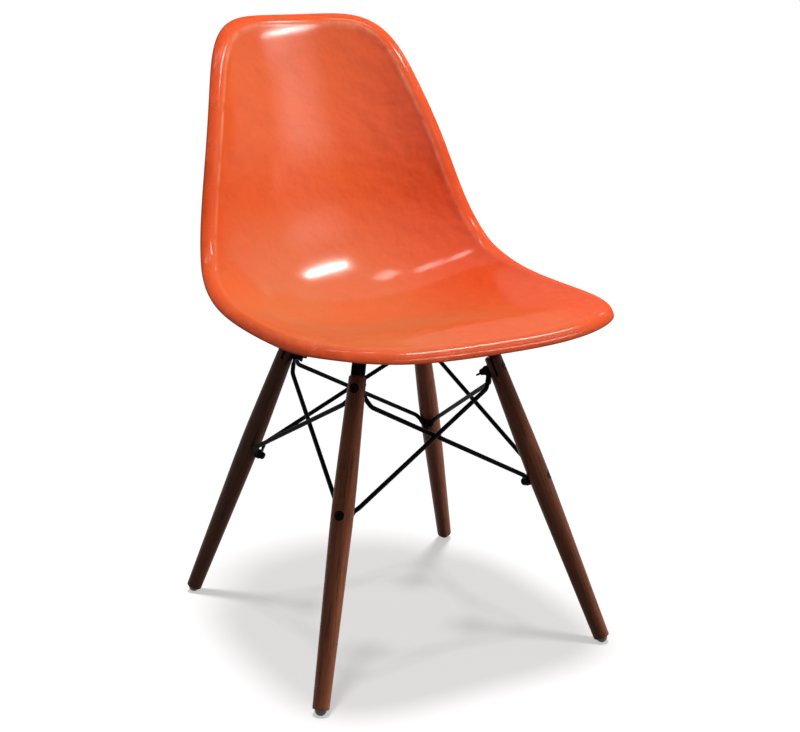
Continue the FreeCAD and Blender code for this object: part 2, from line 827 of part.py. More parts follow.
def bent_path(points, radii):
    """Straight runs joined by tangent arcs."""
    edges = []
    start = points[0]
    for i in range(1, len(points) - 1):
        corner = points[i]
        back = (points[i - 1] - corner).normalize()
        on = (points[i + 1] - corner).normalize()
        half = back.getAngle(on) / 2
        room = min((start - corner).Length * 0.95, (points[i + 1] - corner).Length * 0.45)
        reach = min(radii[i - 1] / math.tan(half), room)
        radius = reach * math.tan(half)
        inside = corner + (back + on).normalize() * (radius / math.sin(half))
        middle = inside + (corner - inside).normalize() * radius
        first = corner + back * reach
        last = corner + on * reach
        edges.append(Part.LineSegment(start, first).toShape())
        edges.append(Part.Arc(first, middle, last).toShape())
        start = last
    edges.append(Part.LineSegment(start, points[-1]).toShape())
    return Part.Wire(edges)


def eye_end(eye, normal, bend):
    """Flattened end of a strut: solids, the centre of the round rod's end, and its direction."""
    flat = bend - eye
    flat = (flat - normal * flat.dot(normal)).normalize()
    side = normal.cross(flat).normalize()
    base = eye - normal * (mm("eye_thick") / 2)
    disc = Part.makeCylinder(mm("eye_dia") / 2, mm("eye_thick"), base, normal)
    tab_end = eye + flat * mm("tab_length")
    near = square_section(eye, side, normal, mm("tab_width"), mm("eye_thick"))
    tab = Part.Face(near).extrude(tab_end - eye)
    run = (bend - tab_end).normalize()
    rod_end = tab_end + run * mm("tab_blend")
    rod_side = (side - run * side.dot(run)).normalize()
    rod_through = run.cross(rod_side) * -1
    if rod_through.dot(normal) < 0:
        rod_through = rod_through * -1
    square = square_section(tab_end, side, normal, mm("tab_width"), mm("eye_thick"))
    round_end = round_section(rod_end, rod_side, rod_through, mm("rod_dia"))
    blend = Part.makeLoft([square, round_end], True, True)
    hole = Part.makeCylinder(mm("bolt_hole") / 2, mm("eye_thick") * 3, eye - normal * (mm("eye_thick") * 1.5), normal)
    return [disc, tab, blend], hole, rod_end, round_end


def strut(name, start, finish, spin):
    """Strut from the upper bolt of one leg to the lower bolt of the next; spin is 1 anticlockwise."""
    start_bolt = bolt_frame(start[1], start[2], mm("upper_bolt_at"))
    finish_bolt = bolt_frame(finish[1], finish[2], mm("lower_bolt_at"))
    along = V(finish[1] - start[1], finish[2] - start[2], 0).normalize()
    outward = V(start[1] + finish[1], start[2] + finish[2], 0).normalize()
    knee = start_bolt.Base + along * mm("knee_along") + outward * mm("knee_out") - UP * mm("knee_drop")
    ankle = finish_bolt.Base - along * mm("ankle_along") + outward * mm("ankle_out") + UP * mm("ankle_rise")
    fall = ankle - knee
    fall = fall - along * fall.dot(along)
    away = fall.cross(along).normalize()
    if away.dot(outward) < 0:
        away = away * -1
    shift = away * (-spin * (mm("rod_dia") + mm("rod_crossing_gap")) / 2)
    knee = knee + shift
    ankle = ankle + shift
    levels = OUTER_EYE if spin > 0 else INNER_EYE
    half = mm("eye_thick") / 2
    upper_in = start_bolt.Rotation.multVec(UP)
    lower_in = finish_bolt.Rotation.multVec(UP)
    upper_eye = start_bolt.Base + upper_in * (levels["upper"] + half)
    lower_eye = finish_bolt.Base + lower_in * (levels["lower"] + half)
    first, first_hole, rod_start, section = eye_end(upper_eye, upper_in, knee)
    last, last_hole, rod_finish, unused = eye_end(lower_eye, lower_in, ankle)
    path = bent_path([rod_start, knee, ankle, rod_finish], [mm("knee_bend"), mm("ankle_bend")])
    rod = path.makePipeShell([section], True, False)
    whole = rod.fuse(first + last).cut(Part.makeCompound([first_hole, last_hole]))
    solid = whole.removeSplitter().Solids
    if len(solid) != 1:
        raise RuntimeError(name + " is not one solid")
    item = doc.addObject("Part::Feature", name)
    item.Shape = solid[0]
    keep(item, name)
    return knee, ankle


RUNS = {}
for number, start in enumerate(CORNERS):
    finish = CORNERS[(number + 1) % 4]
    there = "strut_%s_to_%s" % (start[0], finish[0])
    back = "strut_%s_to_%s" % (finish[0], start[0])
    RUNS[there] = strut(there, start, finish, 1)
    RUNS[back] = strut(back, finish, start, -1)
    first_knee, first_ankle = RUNS[there]
    second_knee, second_ankle = RUNS[back]
    square_to = (first_ankle - first_knee).cross(second_ankle - second_knee).normalize()
    apart = abs((second_knee - first_knee).dot(square_to))
    print("crossing", there, "axes apart", round(apart, 3))


# Brackets between the legs and the shell mounts

def bracket(name, corner, sx, sy):
    """Flat tongue that stands in the leg's slot, with a square pad welded on for the mount."""
    body = new_body(name)
    leg = leg_frame(sx, sy)
    top = MOUNTS[corner]
    thick = mm("plate_thick")
    pad_low = top * FreeCAD.Placement(V(0, 0, -mm("mount_height") - thick), FreeCAD.Rotation())
    meet = tongue_height(top, sx, sy)
    floor = "sizes.slot_floor + sizes.tongue_floor_gap"
    made = sketch(body, name + "_tongue_section", "XY_Plane", floor)
    across = "sizes.plate_thick"
    half = "sizes.tongue_width / 2"
    rectangle(made, across, "-" + half, half)
    pad(body, name + "_tongue", made, "%.6f - (%s)" % (meet, floor))
    local = leg.inverse() * pad_low
    made = sketch(body, name + "_pad_outline", "XY_Plane", offset=local)
    side = "sizes.pad_across / 2"
    rectangle(made, "sizes.pad_radial", "-" + side, side)
    plate = pad(body, name + "_pad", made, "sizes.plate_thick")
    doc.recompute()
    unit = local.Rotation.multVec(UP)

    def corner_edge(edge):
        run = edge.Vertexes[-1].Point - edge.Vertexes[0].Point
        if abs(run.Length - thick) > 0.01 or abs(abs(run.dot(unit)) - thick) > 0.01:
            return False
        middle_point = local.inverse().multVec(edge.Vertexes[0].Point)
        far_x = abs(abs(middle_point.x) - mm("pad_radial") / 2) < 0.01
        far_y = abs(abs(middle_point.y) - mm("pad_across") / 2) < 0.01
        return far_x and far_y

    corners = fillet(body, name + "_pad_corners", plate, corner_edge, "sizes.pad_corner")
    doc.recompute()
    before = corners.Shape.Volume
    lifted = local * FreeCAD.Placement(V(0, 0, thick + 1), FreeCAD.Rotation())
    made = sketch(body, name + "_pad_hole_outline", "XY_Plane", offset=lifted)
    circle(made, "sizes.bolt_hole")
    pocket(body, name + "_pad_hole", made, "sizes.plate_thick + 2")
    made = sketch(body, name + "_tongue_hole_outline", "YZ_Plane")
    circle(made, "sizes.bolt_hole", "0", "sizes.upper_bolt_at")
    pocket(body, name + "_tongue_hole", made)
    doc.recompute()
    if body.Shape.Volume > before - 150:
        raise RuntimeError("holes missed the bracket")
    body.Placement = leg
    keep(body, name)


# Rubber mounts with their threaded inserts

def shock_mount(name, corner):
    """Rubber disc under the shell, moulded round the insert."""
    body = new_body(name)
    low = "-sizes.mount_height"
    gap = "sizes.insert_clearance"
    flange = "sizes.insert_flange_dia / 2 + " + gap
    boss = "sizes.insert_boss_dia / 2 + " + gap
    flange_low = "-sizes.mount_height + 2.5"
    flange_high = "-sizes.mount_height + 2.5 + sizes.insert_flange_thick"
    disc = revolve(body, name + "_disc", (
        ("0", "0"),
        ("0", "-sizes.mount_height + sizes.insert_height + " + gap),
        (boss, "-sizes.mount_height + sizes.insert_height + " + gap),
        (boss, flange_high + " + " + gap),
        (flange, flange_high + " + " + gap),
        (flange, flange_low + " - " + gap),
        (boss, flange_low + " - " + gap),
        (boss, low),
        ("sizes.mount_dia / 2", low),
        ("sizes.mount_dia / 2", "0")))
    outer = mm("mount_dia")
    fillet(body, name + "_edges", disc, either(ring_at(0, outer), ring_at(-mm("mount_height"), outer)),
           "sizes.mount_round")
    body.Placement = MOUNTS[corner]
    keep(body, name)


def either(first, second):
    return lambda edge: first(edge) or second(edge)


def mount_insert(name, corner):
    """Flanged threaded bush inside the rubber."""
    body = new_body(name)
    low = "-sizes.mount_height"
    flange_low = "-sizes.mount_height + 2.5"
    flange_high = "-sizes.mount_height + 2.5 + sizes.insert_flange_thick"
    high = "-sizes.mount_height + sizes.insert_height"
    bore = "sizes.bolt_dia / 2 + sizes.thread_clearance"
    boss = "sizes.insert_boss_dia / 2"
    flange = "sizes.insert_flange_dia / 2"
    revolve(body, name + "_turned", (
        (bore, low),
        (boss, low),
        (boss, flange_low),
        (flange, flange_low),
        (flange, flange_high),
        (boss, flange_high),
        (boss, high),
        (bore, high)))
    body.Placement = MOUNTS[corner]
    keep(body, name)


def shell_bolt(name, corner):
    """Short bolt from below, through the pad into the insert."""
    body = new_body(name)
    seat = "-sizes.mount_height - sizes.plate_thick - sizes.shell_washer_thick - sizes.stack_gap"
    reach = "-sizes.mount_height + sizes.shell_bolt_reach"
    head = "sizes.shell_bolt_head_dia / 2"
    low = seat + " - sizes.shell_bolt_head_height"
    turned = revolve(body, name + "_turned", (
        ("0", low),
        (head, low),
        (head, seat),
        ("sizes.bolt_dia / 2", seat),
        ("sizes.bolt_dia / 2", reach),
        ("0", reach)))
    doc.recompute()
    base = turned.Shape.BoundBox.ZMin
    rounded = fillet(body, name + "_crown", turned, ring_at(base), "sizes.shell_bolt_head_height * 0.5")
    doc.recompute()
    before = rounded.Shape.Volume
    cut_socket(body, name, base)
    doc.recompute()
    if body.Shape.Volume > before - 5:
        raise RuntimeError("socket missed the head")
    body.Placement = MOUNTS[corner]
    keep(body, name)


made_washers = []
for corner, sx, sy in CORNERS:
    bracket("bracket_" + corner, corner, sx, sy)
    shock_mount("shock_mount_" + corner, corner)
    mount_insert("mount_insert_" + corner, corner)
    shell_bolt("shell_bolt_" + corner, corner)
    one = washer("shell_washer_" + corner, "sizes.shell_washer_dia", "sizes.bolt_hole", "sizes.shell_washer_thick")
    drop = mm("mount_height") + mm("plate_thick") + mm("shell_washer_thick") + mm("stack_gap") / 2
    one.Placement = MOUNTS[corner] * FreeCAD.Placement(V(0, 0, -drop), FreeCAD.Rotation())
    made_washers.append(one)
group("shell_bolt_washers", made_washers)


# Floor glides and their nails

def cylinder(name, diameter, low, high):
    made = doc.addObject("Part::Cylinder", name)
    made.setExpression("Radius", "(%s) / 2" % diameter)
    made.setExpression("Height", "(%s) - (%s)" % (high, low))
    made.setExpression("Placement.Base.z", low)
    return made


def nail(name, extra):
    """Headed nail along the leg's axis, larger all over by the extra given."""
    head_low = "sizes.leg_foot - sizes.nail_head_depth - " + extra
    head_high = "sizes.leg_foot - sizes.nail_head_depth + sizes.nail_head_thick + " + extra
    tip = "sizes.leg_foot + sizes.nail_length + " + extra
    head = cylinder(name + "_head", "sizes.nail_head_dia + 2 * " + extra, head_low, head_high)
    shank = cylinder(name + "_shank", "sizes.nail_dia + 2 * " + extra, head_low, tip)
    fused = doc.addObject("Part::Fuse", name)
    fused.Base = head
    fused.Tool = shank
    return fused


def trim_box(name, size, place):
    box = doc.addObject("Part::Box", name)
    box.Length = size
    box.Width = size
    box.Height = size
    box.Placement = place
    return box


def glide(name, sx, sy):
    """Domed glide under the foot, flat where it stands on the floor."""
    leg = leg_frame(sx, sy)
    centre_height = math.sqrt(mm("glide_radius") ** 2 - (mm("glide_flat") / 2) ** 2)
    ball = doc.addObject("Part::Sphere", name + "_ball")
    ball.setExpression("Radius", "sizes.glide_radius")
    ball.Placement = FreeCAD.Placement(V(0, 0, centre_height * LEG_STRETCH), FreeCAD.Rotation())
    size = 40.0
    above = FreeCAD.Placement(V(-size / 2, -size / 2, mm("leg_foot")), FreeCAD.Rotation())
    over = trim_box(name + "_under_foot", size, above)
    floor = FreeCAD.Placement(leg.Base + V(-size / 2, -size / 2, -size), FreeCAD.Rotation())
    under = trim_box(name + "_on_floor", size, leg.inverse() * floor)
    cavity = nail(name + "_nail_room", "sizes.nail_clearance")
    tools = doc.addObject("Part::MultiFuse", name + "_trims")
    tools.Shapes = [over, under, cavity]
    made = doc.addObject("Part::Cut", name)
    made.Base = ball
    made.Tool = tools
    made.Placement = leg
    keep(made, name)


nails = []
for corner, sx, sy in CORNERS:
    glide("glide_" + corner, sx, sy)
    one = nail("glide_nail_" + corner, "0")
    one.Placement = leg_frame(sx, sy)
    nails.append(one)
group("glide_nails", nails)

# Checks before anything is written
doc.recompute()
for item in doc.Objects:
    if "Invalid" in item.State or "Error" in item.State:
        raise RuntimeError("%s failed: %s" % (item.Name, item.State))
for item in nodes:
    shape = item.Shape
    if shape.isNull() or not shape.isValid() or not shape.Solids:
        raise RuntimeError(item.Label + " has no valid shape")
    single = not item.isDerivedFrom("Part::Compound")
    if single and len(shape.Solids) != 1:
        raise RuntimeError(item.Label + " is not one solid")

os.makedirs("parts", exist_ok=True)
for item in nodes:
    item.Shape.exportStep("parts/%s.step" % item.Label)
    box = item.Shape.BoundBox
    print("%-38s %10.1f  %s" % (item.Label, item.Shape.Volume, box))
print("nodes", len(nodes))
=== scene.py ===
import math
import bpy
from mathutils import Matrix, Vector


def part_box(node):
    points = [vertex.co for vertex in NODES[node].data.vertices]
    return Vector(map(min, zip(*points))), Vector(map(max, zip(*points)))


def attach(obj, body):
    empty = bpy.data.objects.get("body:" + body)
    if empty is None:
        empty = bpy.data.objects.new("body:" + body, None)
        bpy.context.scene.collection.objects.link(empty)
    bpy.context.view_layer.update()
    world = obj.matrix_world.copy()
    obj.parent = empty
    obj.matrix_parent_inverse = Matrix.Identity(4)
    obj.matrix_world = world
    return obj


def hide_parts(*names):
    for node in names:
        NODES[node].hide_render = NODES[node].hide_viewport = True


bl_info = {
    "name": "Shell chair",
    "version": (1, 0, 0),
    "blender": (4, 5, 0),
    "location": "View3D > Sidebar > Chair",
    "description": "Glossy moulded shell chair on turned wooden legs with crossed rods",
    "category": "Object",
}

from typing import NamedTuple

import bmesh
import bpy
from bpy.props import FloatProperty, FloatVectorProperty, IntProperty, PointerProperty
from mathutils import Matrix, Quaternion, Vector

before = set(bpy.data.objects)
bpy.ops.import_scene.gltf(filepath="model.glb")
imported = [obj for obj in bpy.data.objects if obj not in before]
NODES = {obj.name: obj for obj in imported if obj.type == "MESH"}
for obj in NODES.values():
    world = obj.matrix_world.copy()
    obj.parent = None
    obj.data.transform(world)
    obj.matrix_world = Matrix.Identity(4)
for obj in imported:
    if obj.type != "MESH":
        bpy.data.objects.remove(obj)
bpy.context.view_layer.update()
MM = 0.001

# Middle line of the shell, from the front lip to the top edge. Each station gives its place along
# Y, its height, the half width there and how far the side edge stands up, all in millimetres, and
# in degrees the slope that the side stands square to
STATIONS = (
    (-240, 451.5, 227.5, 14.5, 12),
    (-193, 458, 219, 4.5, -3),
    (-141, 447, 217, 15.5, -13),
    (-43, 427, 215, 34.5, -12),
    (39, 411, 209.5, 56, -5),
    (109, 414, 202, 69, 17),
    (157.5, 449.5, 195, 65.5, 42),
    (197.5, 520, 181, 59.5, 62),
    (227, 614.5, 161.5, 56.5, 70.5),
    (255.5, 704.5, 145.5, 52, 75),
    (273.5, 786, 142, 44.5, 80.5),
)
# Powers of the curves that round the section, the front corners and the top corners
SECTION_POWER = 2.3
FRONT_CORNER_POWER = 4.2
TOP_CORNER_POWER = 5.35
# Station, counted from 0, where the front corners' curve meets the top corners'
OUTLINE_MIDDLE = 4.5
# Small step over which slopes are measured
NUDGE = 1e-3

# The rows of the shell's mesh lie closer together towards the rim, by this power
ROW_POWER = 1.25
# Steps in which the rim rolls under
RIM_STEPS = 10
# The rim mask begins this far out on the face and rises over this width to this value at the
# edge. On the roll it goes on to 1
MASK_START = 0.93
MASK_WIDTH = 0.07
MASK_AT_EDGE = 0.4

CORNERS = {
    "front_right": (-1, -1),
    "front_left": (1, -1),
    "rear_left": (1, 1),
    "rear_right": (-1, 1),
}
# Painted shade on each leg: its own share of its colour, lowest on the legs that the shell shades.
# Between two heights, in metres, going up, it drops to a share of that, as painted shade under the
# shell
LEG_PAINTED_SHADE = {"front_right": 0.98, "front_left": 0.62, "rear_left": 0.82, "rear_right": 0.3}
LEG_TOP_SHADE_SHARE = 0.22
LEG_TOP_SHADE_HEIGHTS = (0.3, 0.4)
# Lean of a leg along X and along Y for each metre up, and how far out its foot stands, in metres
LEG_RAKE = 0.292
LEG_SPREAD = 0.21


def legs_middle():
    """How far along Y the middle of the four legs lies from the origin, read from a floor glide."""
    low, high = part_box("glide_rear_left")
    return (low.y + high.y - low.x - high.x) / 2


LEGS_MIDDLE = legs_middle()


# Sizes and colours that a user would change

class ShellSettings(bpy.types.PropertyGroup):
    wall: FloatProperty(
        name="Wall", description="Thickness of the moulded shell",
        default=0.0035, unit="LENGTH")
    rim_roll: FloatProperty(
        name="Rim roll", description="Outer radius of the rolled rim",
        default=0.0158, unit="LENGTH")
    rim_turn: FloatProperty(
        name="Rim turn", description="How far the rim rolls under",
        default=math.radians(85), subtype="ANGLE")
    sweep_rise: FloatProperty(
        name="Sweep rise", description="How far the face sweeps up to meet the rim",
        default=0.0009, unit="LENGTH")
    sweep_width: FloatProperty(
        name="Sweep width", description="Width of the sweep next to the rim",
        default=0.02, unit="LENGTH")
    steps_across: IntProperty(
        name="Steps across", description="Mesh steps from side to side",
        default=132)
    steps_along: IntProperty(
        name="Steps along", description="Mesh steps from the lip to the top",
        default=168)
    colour: FloatVectorProperty(
        name="Colour", description="Main orange of the moulded shell",
        default=(0.71, 0.114, 0.025), subtype="COLOR")
    # Painted light: the seat's paler orange stands in for the stronger light on it
    painted_light_seat_colour: FloatVectorProperty(
        name="Seat colour", description="Paler orange of the seat",
        default=(0.55, 0.152, 0.056), subtype="COLOR")
    # Painted shade: this redder orange darkens the right side, the front and the rim, and also
    # gives the resin's own random drift
    shade_and_drift_colour: FloatVectorProperty(
        name="Deep colour", description="Redder orange where the resin is thick",
        default=(0.69, 0.076, 0.018), subtype="COLOR")
    # Scuffs on the rim, and also the pale band painted as a highlight along its ridge
    worn_and_highlight_colour: FloatVectorProperty(
        name="Worn colour", description="Pale scuffed glass fibre along the rim",
        default=(0.86, 0.36, 0.22), subtype="COLOR")
    roughness: FloatProperty(
        name="Roughness", description="Roughness under the polish",
        default=0.42, subtype="FACTOR")
    polish: FloatProperty(
        name="Polish", description="Weight of the clear polish where it is seen square on",
        default=0.6, subtype="FACTOR")


class WoodSettings(bpy.types.PropertyGroup):
    colour: FloatVectorProperty(
        name="Colour", description="Mid tone of the walnut stain",
        default=(0.182, 0.054, 0.026), subtype="COLOR")
    dark_colour: FloatVectorProperty(
        name="Dark colour", description="Dark lines of the grain",
        default=(0.05, 0.017, 0.01), subtype="COLOR")
    light_colour: FloatVectorProperty(
        name="Light colour", description="Light bands of the grain",
        default=(0.3, 0.1, 0.05), subtype="COLOR")
    roughness: FloatProperty(
        name="Roughness", description="Roughness of the satin lacquer",
        default=0.42, subtype="FACTOR")


class FittingSettings(bpy.types.PropertyGroup):
    black: FloatVectorProperty(
        name="Black", description="Powder coat of rods, brackets and bolts",
        default=(0.005, 0.0048, 0.0046), subtype="COLOR")
    black_roughness: FloatProperty(
        name="Black roughness", description="Roughness of the powder coat",
        default=0.38, subtype="FACTOR")
    rubber: FloatVectorProperty(
        name="Rubber", description="Rubber of the shock mounts",
        default=(0.016, 0.016, 0.017), subtype="COLOR")
    nylon: FloatVectorProperty(
        name="Nylon", description="Scuffed dark nylon of the floor glides",
        default=(0.11, 0.106, 0.1), subtype="COLOR")
    zinc: FloatVectorProperty(
        name="Zinc", description="Zinc plate of washers, inserts and nails",
        default=(0.56, 0.56, 0.54), subtype="COLOR")


class StageSettings(bpy.types.PropertyGroup):
    lens: FloatProperty(
        name="Lens", description="Focal length on a sensor 36 mm wide",
        default=69.74, unit="CAMERA")
    azimuth: FloatProperty(
        name="Azimuth", description="Turn of the camera round the chair",
        default=math.radians(-28.711), subtype="ANGLE")
    elevation: FloatProperty(
        name="Elevation", description="Height of the camera above the horizon",
        default=math.radians(15.973), subtype="ANGLE")
    distance: FloatProperty(
        name="Distance", description="Camera to the point that it looks at",
        default=2.0567, unit="LENGTH")
    floor: FloatVectorProperty(
        name="Floor", description="Colour of the floor",
        default=(0.8, 0.8, 0.8), subtype="COLOR")
    floor_glow: FloatProperty(
        name="Floor glow", description="Light that the floor itself gives the camera",
        default=0.502)
    overhead: FloatProperty(
        name="Overhead", description="Strength of the soft light straight above",
        default=1.2)
    leg_shadow: FloatProperty(
        name="Leg shadow",
        description="Strength of the light that the base alone keeps from the floor",
        default=0.6)
    key_power: FloatProperty(
        name="Key", description="Power of the main light, high in front and to the right",
        default=29.0, unit="POWER")
    front_power: FloatProperty(
        name="Front", description="Power of the broad light in front",
        default=6.5, unit="POWER")
    rear_power: FloatProperty(
        name="Rear", description="Power of the broad light behind",
        default=38.0, unit="POWER")
    right_power: FloatProperty(
        name="Right", description="Power of the light on the base from the right",
        default=36.0, unit="POWER")
    ceiling_power: FloatProperty(
        name="Ceiling", description="Power of each of the three small lights over the seat",
        default=3.5, unit="POWER")
    strip_power: FloatProperty(
        name="Strip", description="Power of the far strip light that shows under the top edge",
        default=380.0, unit="POWER")
    glow_power: FloatProperty(
        name="Strip glow", description="Power of the soft light above the far strip light",
        default=150.0, unit="POWER")
    panel_power: FloatProperty(
        name="Panel", description="Power of the dim panel that shows in the back",
        default=3.2, unit="POWER")
    side_power: FloatProperty(
        name="Side", description="Power of the small light at the right",
        default=4.0, unit="POWER")
    ambient: FloatProperty(
        name="Ambient", description="Strength of the pale surroundings",
        default=0.09)


# Form of the shell

class Spline:
    """Natural cubic through evenly spaced values."""

    def __init__(self, values):
        count = len(values)
        self.values = [float(value) for value in values]
        self.bend = [0.0] * count
        upper = [0.0] * count
        right = [0.0] * count
        for i in range(1, count - 1):
            step = 6 * (values[i + 1] - 2 * values[i] + values[i - 1])
            pivot = 4.0 - upper[i - 1]
            upper[i] = 1.0 / pivot
            right[i] = (step - right[i - 1]) / pivot
        for i in range(count - 2, 0, -1):
            self.bend[i] = right[i] - upper[i] * self.bend[i + 1]

    def at(self, place):
        """Value at a place counted from 0."""
        i = min(max(int(math.floor(place)), 0), len(self.values) - 2)
        part = place - i
        rest = 1 - part
        line = self.values[i] * rest + self.values[i + 1] * part
        curve = (rest ** 3 - rest) * self.bend[i] + (part ** 3 - part) * self.bend[i + 1]
        return line + curve / 6


LINE_Y, LINE_Z, HALF_WIDTH, SIDE_RISE, SIDE_LEAN = [
    Spline([row[i] for row in STATIONS]) for i in range(5)]
LAST = len(STATIONS) - 1


def shell_point(across, place):
    """Upper face of the shell: across from -1 to 1, place from 0 at the lip to 10 at the top."""
    lean = math.radians(SIDE_LEAN.at(place))
    rise = SIDE_RISE.at(place) * abs(across) ** SECTION_POWER
    return Vector((
        HALF_WIDTH.at(place) * across * MM,
        (LINE_Y.at(place) - math.sin(lean) * rise) * MM + LEGS_MIDDLE,
        (LINE_Z.at(place) + math.cos(lean) * rise) * MM))


def shell_normal(across, place):
    """Direction square to the upper face."""
    side = shell_point(across + NUDGE, place) - shell_point(across - NUDGE, place)
    along = shell_point(across, place + NUDGE) - shell_point(across, place - NUDGE)
    return side.cross(along).normalized()


def shell_edge(turn, share):
    """Across and place on the rounded outline, which a share below 1 draws in."""
    c = math.cos(turn)
    s = math.sin(turn)
    power = FRONT_CORNER_POWER if s < 0 else TOP_CORNER_POWER
    reach = share * (abs(c) ** power + abs(s) ** power) ** (-1 / power)
    side = OUTLINE_MIDDLE if s < 0 else LAST - OUTLINE_MIDDLE
    return reach * c, OUTLINE_MIDDLE + reach * s * side


# Helpers for pieces, materials and node groups

def deselect():
    """Leaves edit mode and lets go of everything."""
    if bpy.context.object and bpy.context.object.mode != "OBJECT":
        bpy.ops.object.mode_set(mode="OBJECT")
    bpy.ops.object.select_all(action="DESELECT")


# Sockets of a Mix node, which has several of each name: factor, first and second, and the result
MIX_COLOUR_INPUTS = (0, 6, 7)
MIX_COLOUR_OUTPUT = 2
MIX_VALUE_INPUTS = (0, 2, 3)
MIX_VALUE_OUTPUT = 0


class Nodes:
    """Short way to add and join the nodes of a material, a lamp or a group."""

    def __init__(self, tree):
        self.tree = tree

    def add(self, kind, **settings):
        """New node. A setting is the value of an input, or else a property of the node."""
        made = self.tree.nodes.new(kind)
        for name, value in settings.items():
            if name in made.inputs:
                made.inputs[name].default_value = value
            else:
                setattr(made, name, value)
        return made

    def join(self, source, target):
        self.tree.links.new(source, target)

    def split(self, vector):
        """X, Y and Z of a vector."""
        made = self.add("ShaderNodeSeparateXYZ")
        self.join(vector, made.inputs["Vector"])
        return made.outputs

    def mapped(self, vector, **settings):
        """Vector moved, turned or stretched."""
        made = self.add("ShaderNodeMapping", **settings)
        self.join(vector, made.inputs["Vector"])
        return made.outputs["Vector"]

    def level(self, source, low, high, to_low=0.0, to_high=1.0):
        """Goes from to_low to to_high, and no further, while the source goes from low to high."""
        made = self.add("ShaderNodeMapRange")
        made.inputs["From Min"].default_value = low
        made.inputs["From Max"].default_value = high
        made.inputs["To Min"].default_value = to_low
        made.inputs["To Max"].default_value = to_high
        self.join(source, made.inputs["Value"])
        return made.outputs["Result"]

    def maths(self, operation, first, second):
        """One sum on two values, each a socket or a number."""
        made = self.add("ShaderNodeMath", operation=operation)
        for number, value in enumerate((first, second)):
            if isinstance(value, (int, float)):
                made.inputs[number].default_value = value
            else:
                self.join(value, made.inputs[number])
        return made.outputs["Value"]

    def blend(self, amount, first, second):
        """Mix of two colours, each a socket or a colour."""
        made = self.add("ShaderNodeMix", data_type="RGBA")
        for number, value in zip(MIX_COLOUR_INPUTS, (amount, first, second)):
            if hasattr(value, "links"):
                self.join(value, made.inputs[number])
            else:
                made.inputs[number].default_value = (*value[:3], 1)
        return made.outputs[MIX_COLOUR_OUTPUT]

    def noise(self, vector, scale, detail=2.0, roughness=0.5, distortion=0.0):
        """Noise round 0.5, finer as the scale grows."""
        made = self.add("ShaderNodeTexNoise", Scale=scale, Detail=detail,
                        Roughness=roughness, Distortion=distortion)
        self.join(vector, made.inputs["Vector"])
        return made.outputs["Fac"]

    def bump(self, height, strength, distance):
        """Normal that follows a height, whose full range stands for a distance in metres."""
        made = self.add("ShaderNodeBump", Strength=strength, Distance=distance)
        self.join(height, made.inputs["Height"])
        return made.outputs["Normal"]


def new_group(name, inputs, outputs):
    """Empty node group with its sockets made."""
    group = bpy.data.node_groups.new(name, "ShaderNodeTree")
    for title, kind, default in inputs:
        made = group.interface.new_socket(name=title, in_out="INPUT", socket_type=kind)
        if default is not None:
            made.default_value = default
    for title, kind in outputs:
        group.interface.new_socket(name=title, in_out="OUTPUT", socket_type=kind)
    nodes = Nodes(group)
    start = nodes.add("NodeGroupInput")
    end = nodes.add("NodeGroupOutput")
    return group, nodes, start.outputs, end.inputs


# Where the patches of wear, and the specks in them, begin and are full on their own noise, and
# how much finer the specks are
WEAR_PATCHES = (0.52, 0.68)
WEAR_SPECKS = (0.54, 0.66)
SPECK_FINENESS = 14.0


def surface_wear_group():
    """Scattered scuffs: a mask that is strongest where the Edge input is 1."""
    if "surface wear" in bpy.data.node_groups:
        return bpy.data.node_groups["surface wear"]
    group, nodes, given, wanted = new_group(
        "surface wear",
        (("Vector", "NodeSocketVector", None), ("Scale", "NodeSocketFloat", 40.0),
         ("Amount", "NodeSocketFloat", 0.5), ("Edge", "NodeSocketFloat", 1.0)),
        (("Mask", "NodeSocketFloat"),))
    patches = nodes.add("ShaderNodeTexNoise", Detail=3.0, Roughness=0.6)
    nodes.join(given["Vector"], patches.inputs["Vector"])
    nodes.join(given["Scale"], patches.inputs["Scale"])
    specks = nodes.add("ShaderNodeTexNoise", Detail=4.0, Roughness=0.75)
    nodes.join(given["Vector"], specks.inputs["Vector"])
    nodes.join(nodes.maths("MULTIPLY", given["Scale"], SPECK_FINENESS), specks.inputs["Scale"])
    areas = nodes.level(patches.outputs["Fac"], *WEAR_PATCHES)
    marks = nodes.level(specks.outputs["Fac"], *WEAR_SPECKS)
    mask = nodes.maths("MULTIPLY", nodes.maths("MULTIPLY", areas, marks), given["Edge"])
    nodes.join(nodes.maths("MULTIPLY", mask, given["Amount"]), wanted["Mask"])
    return group


def fine_mottle_group():
    """Even, fine variation: a value round 0.5 with a broad part and a fine part."""
    if "fine mottle" in bpy.data.node_groups:
        return bpy.data.node_groups["fine mottle"]
    group, nodes, given, wanted = new_group(
        "fine mottle",
        (("Vector", "NodeSocketVector", None), ("Broad scale", "NodeSocketFloat", 8.0),
         ("Fine scale", "NodeSocketFloat", 300.0), ("Fine share", "NodeSocketFloat", 0.5)),
        (("Value", "NodeSocketFloat"),))
    broad = nodes.add("ShaderNodeTexNoise", Detail=3.0, Roughness=0.5)
    fine = nodes.add("ShaderNodeTexNoise", Detail=5.0, Roughness=0.7)
    for texture, scale in ((broad, "Broad scale"), (fine, "Fine scale")):
        nodes.join(given["Vector"], texture.inputs["Vector"])
        nodes.join(given[scale], texture.inputs["Scale"])
    mix = nodes.add("ShaderNodeMix", data_type="FLOAT")
    parts = (given["Fine share"], broad.outputs["Fac"], fine.outputs["Fac"])
    for number, part in zip(MIX_VALUE_INPUTS, parts):
        nodes.join(part, mix.inputs[number])
    nodes.join(mix.outputs[MIX_VALUE_OUTPUT], wanted["Value"])
    return group


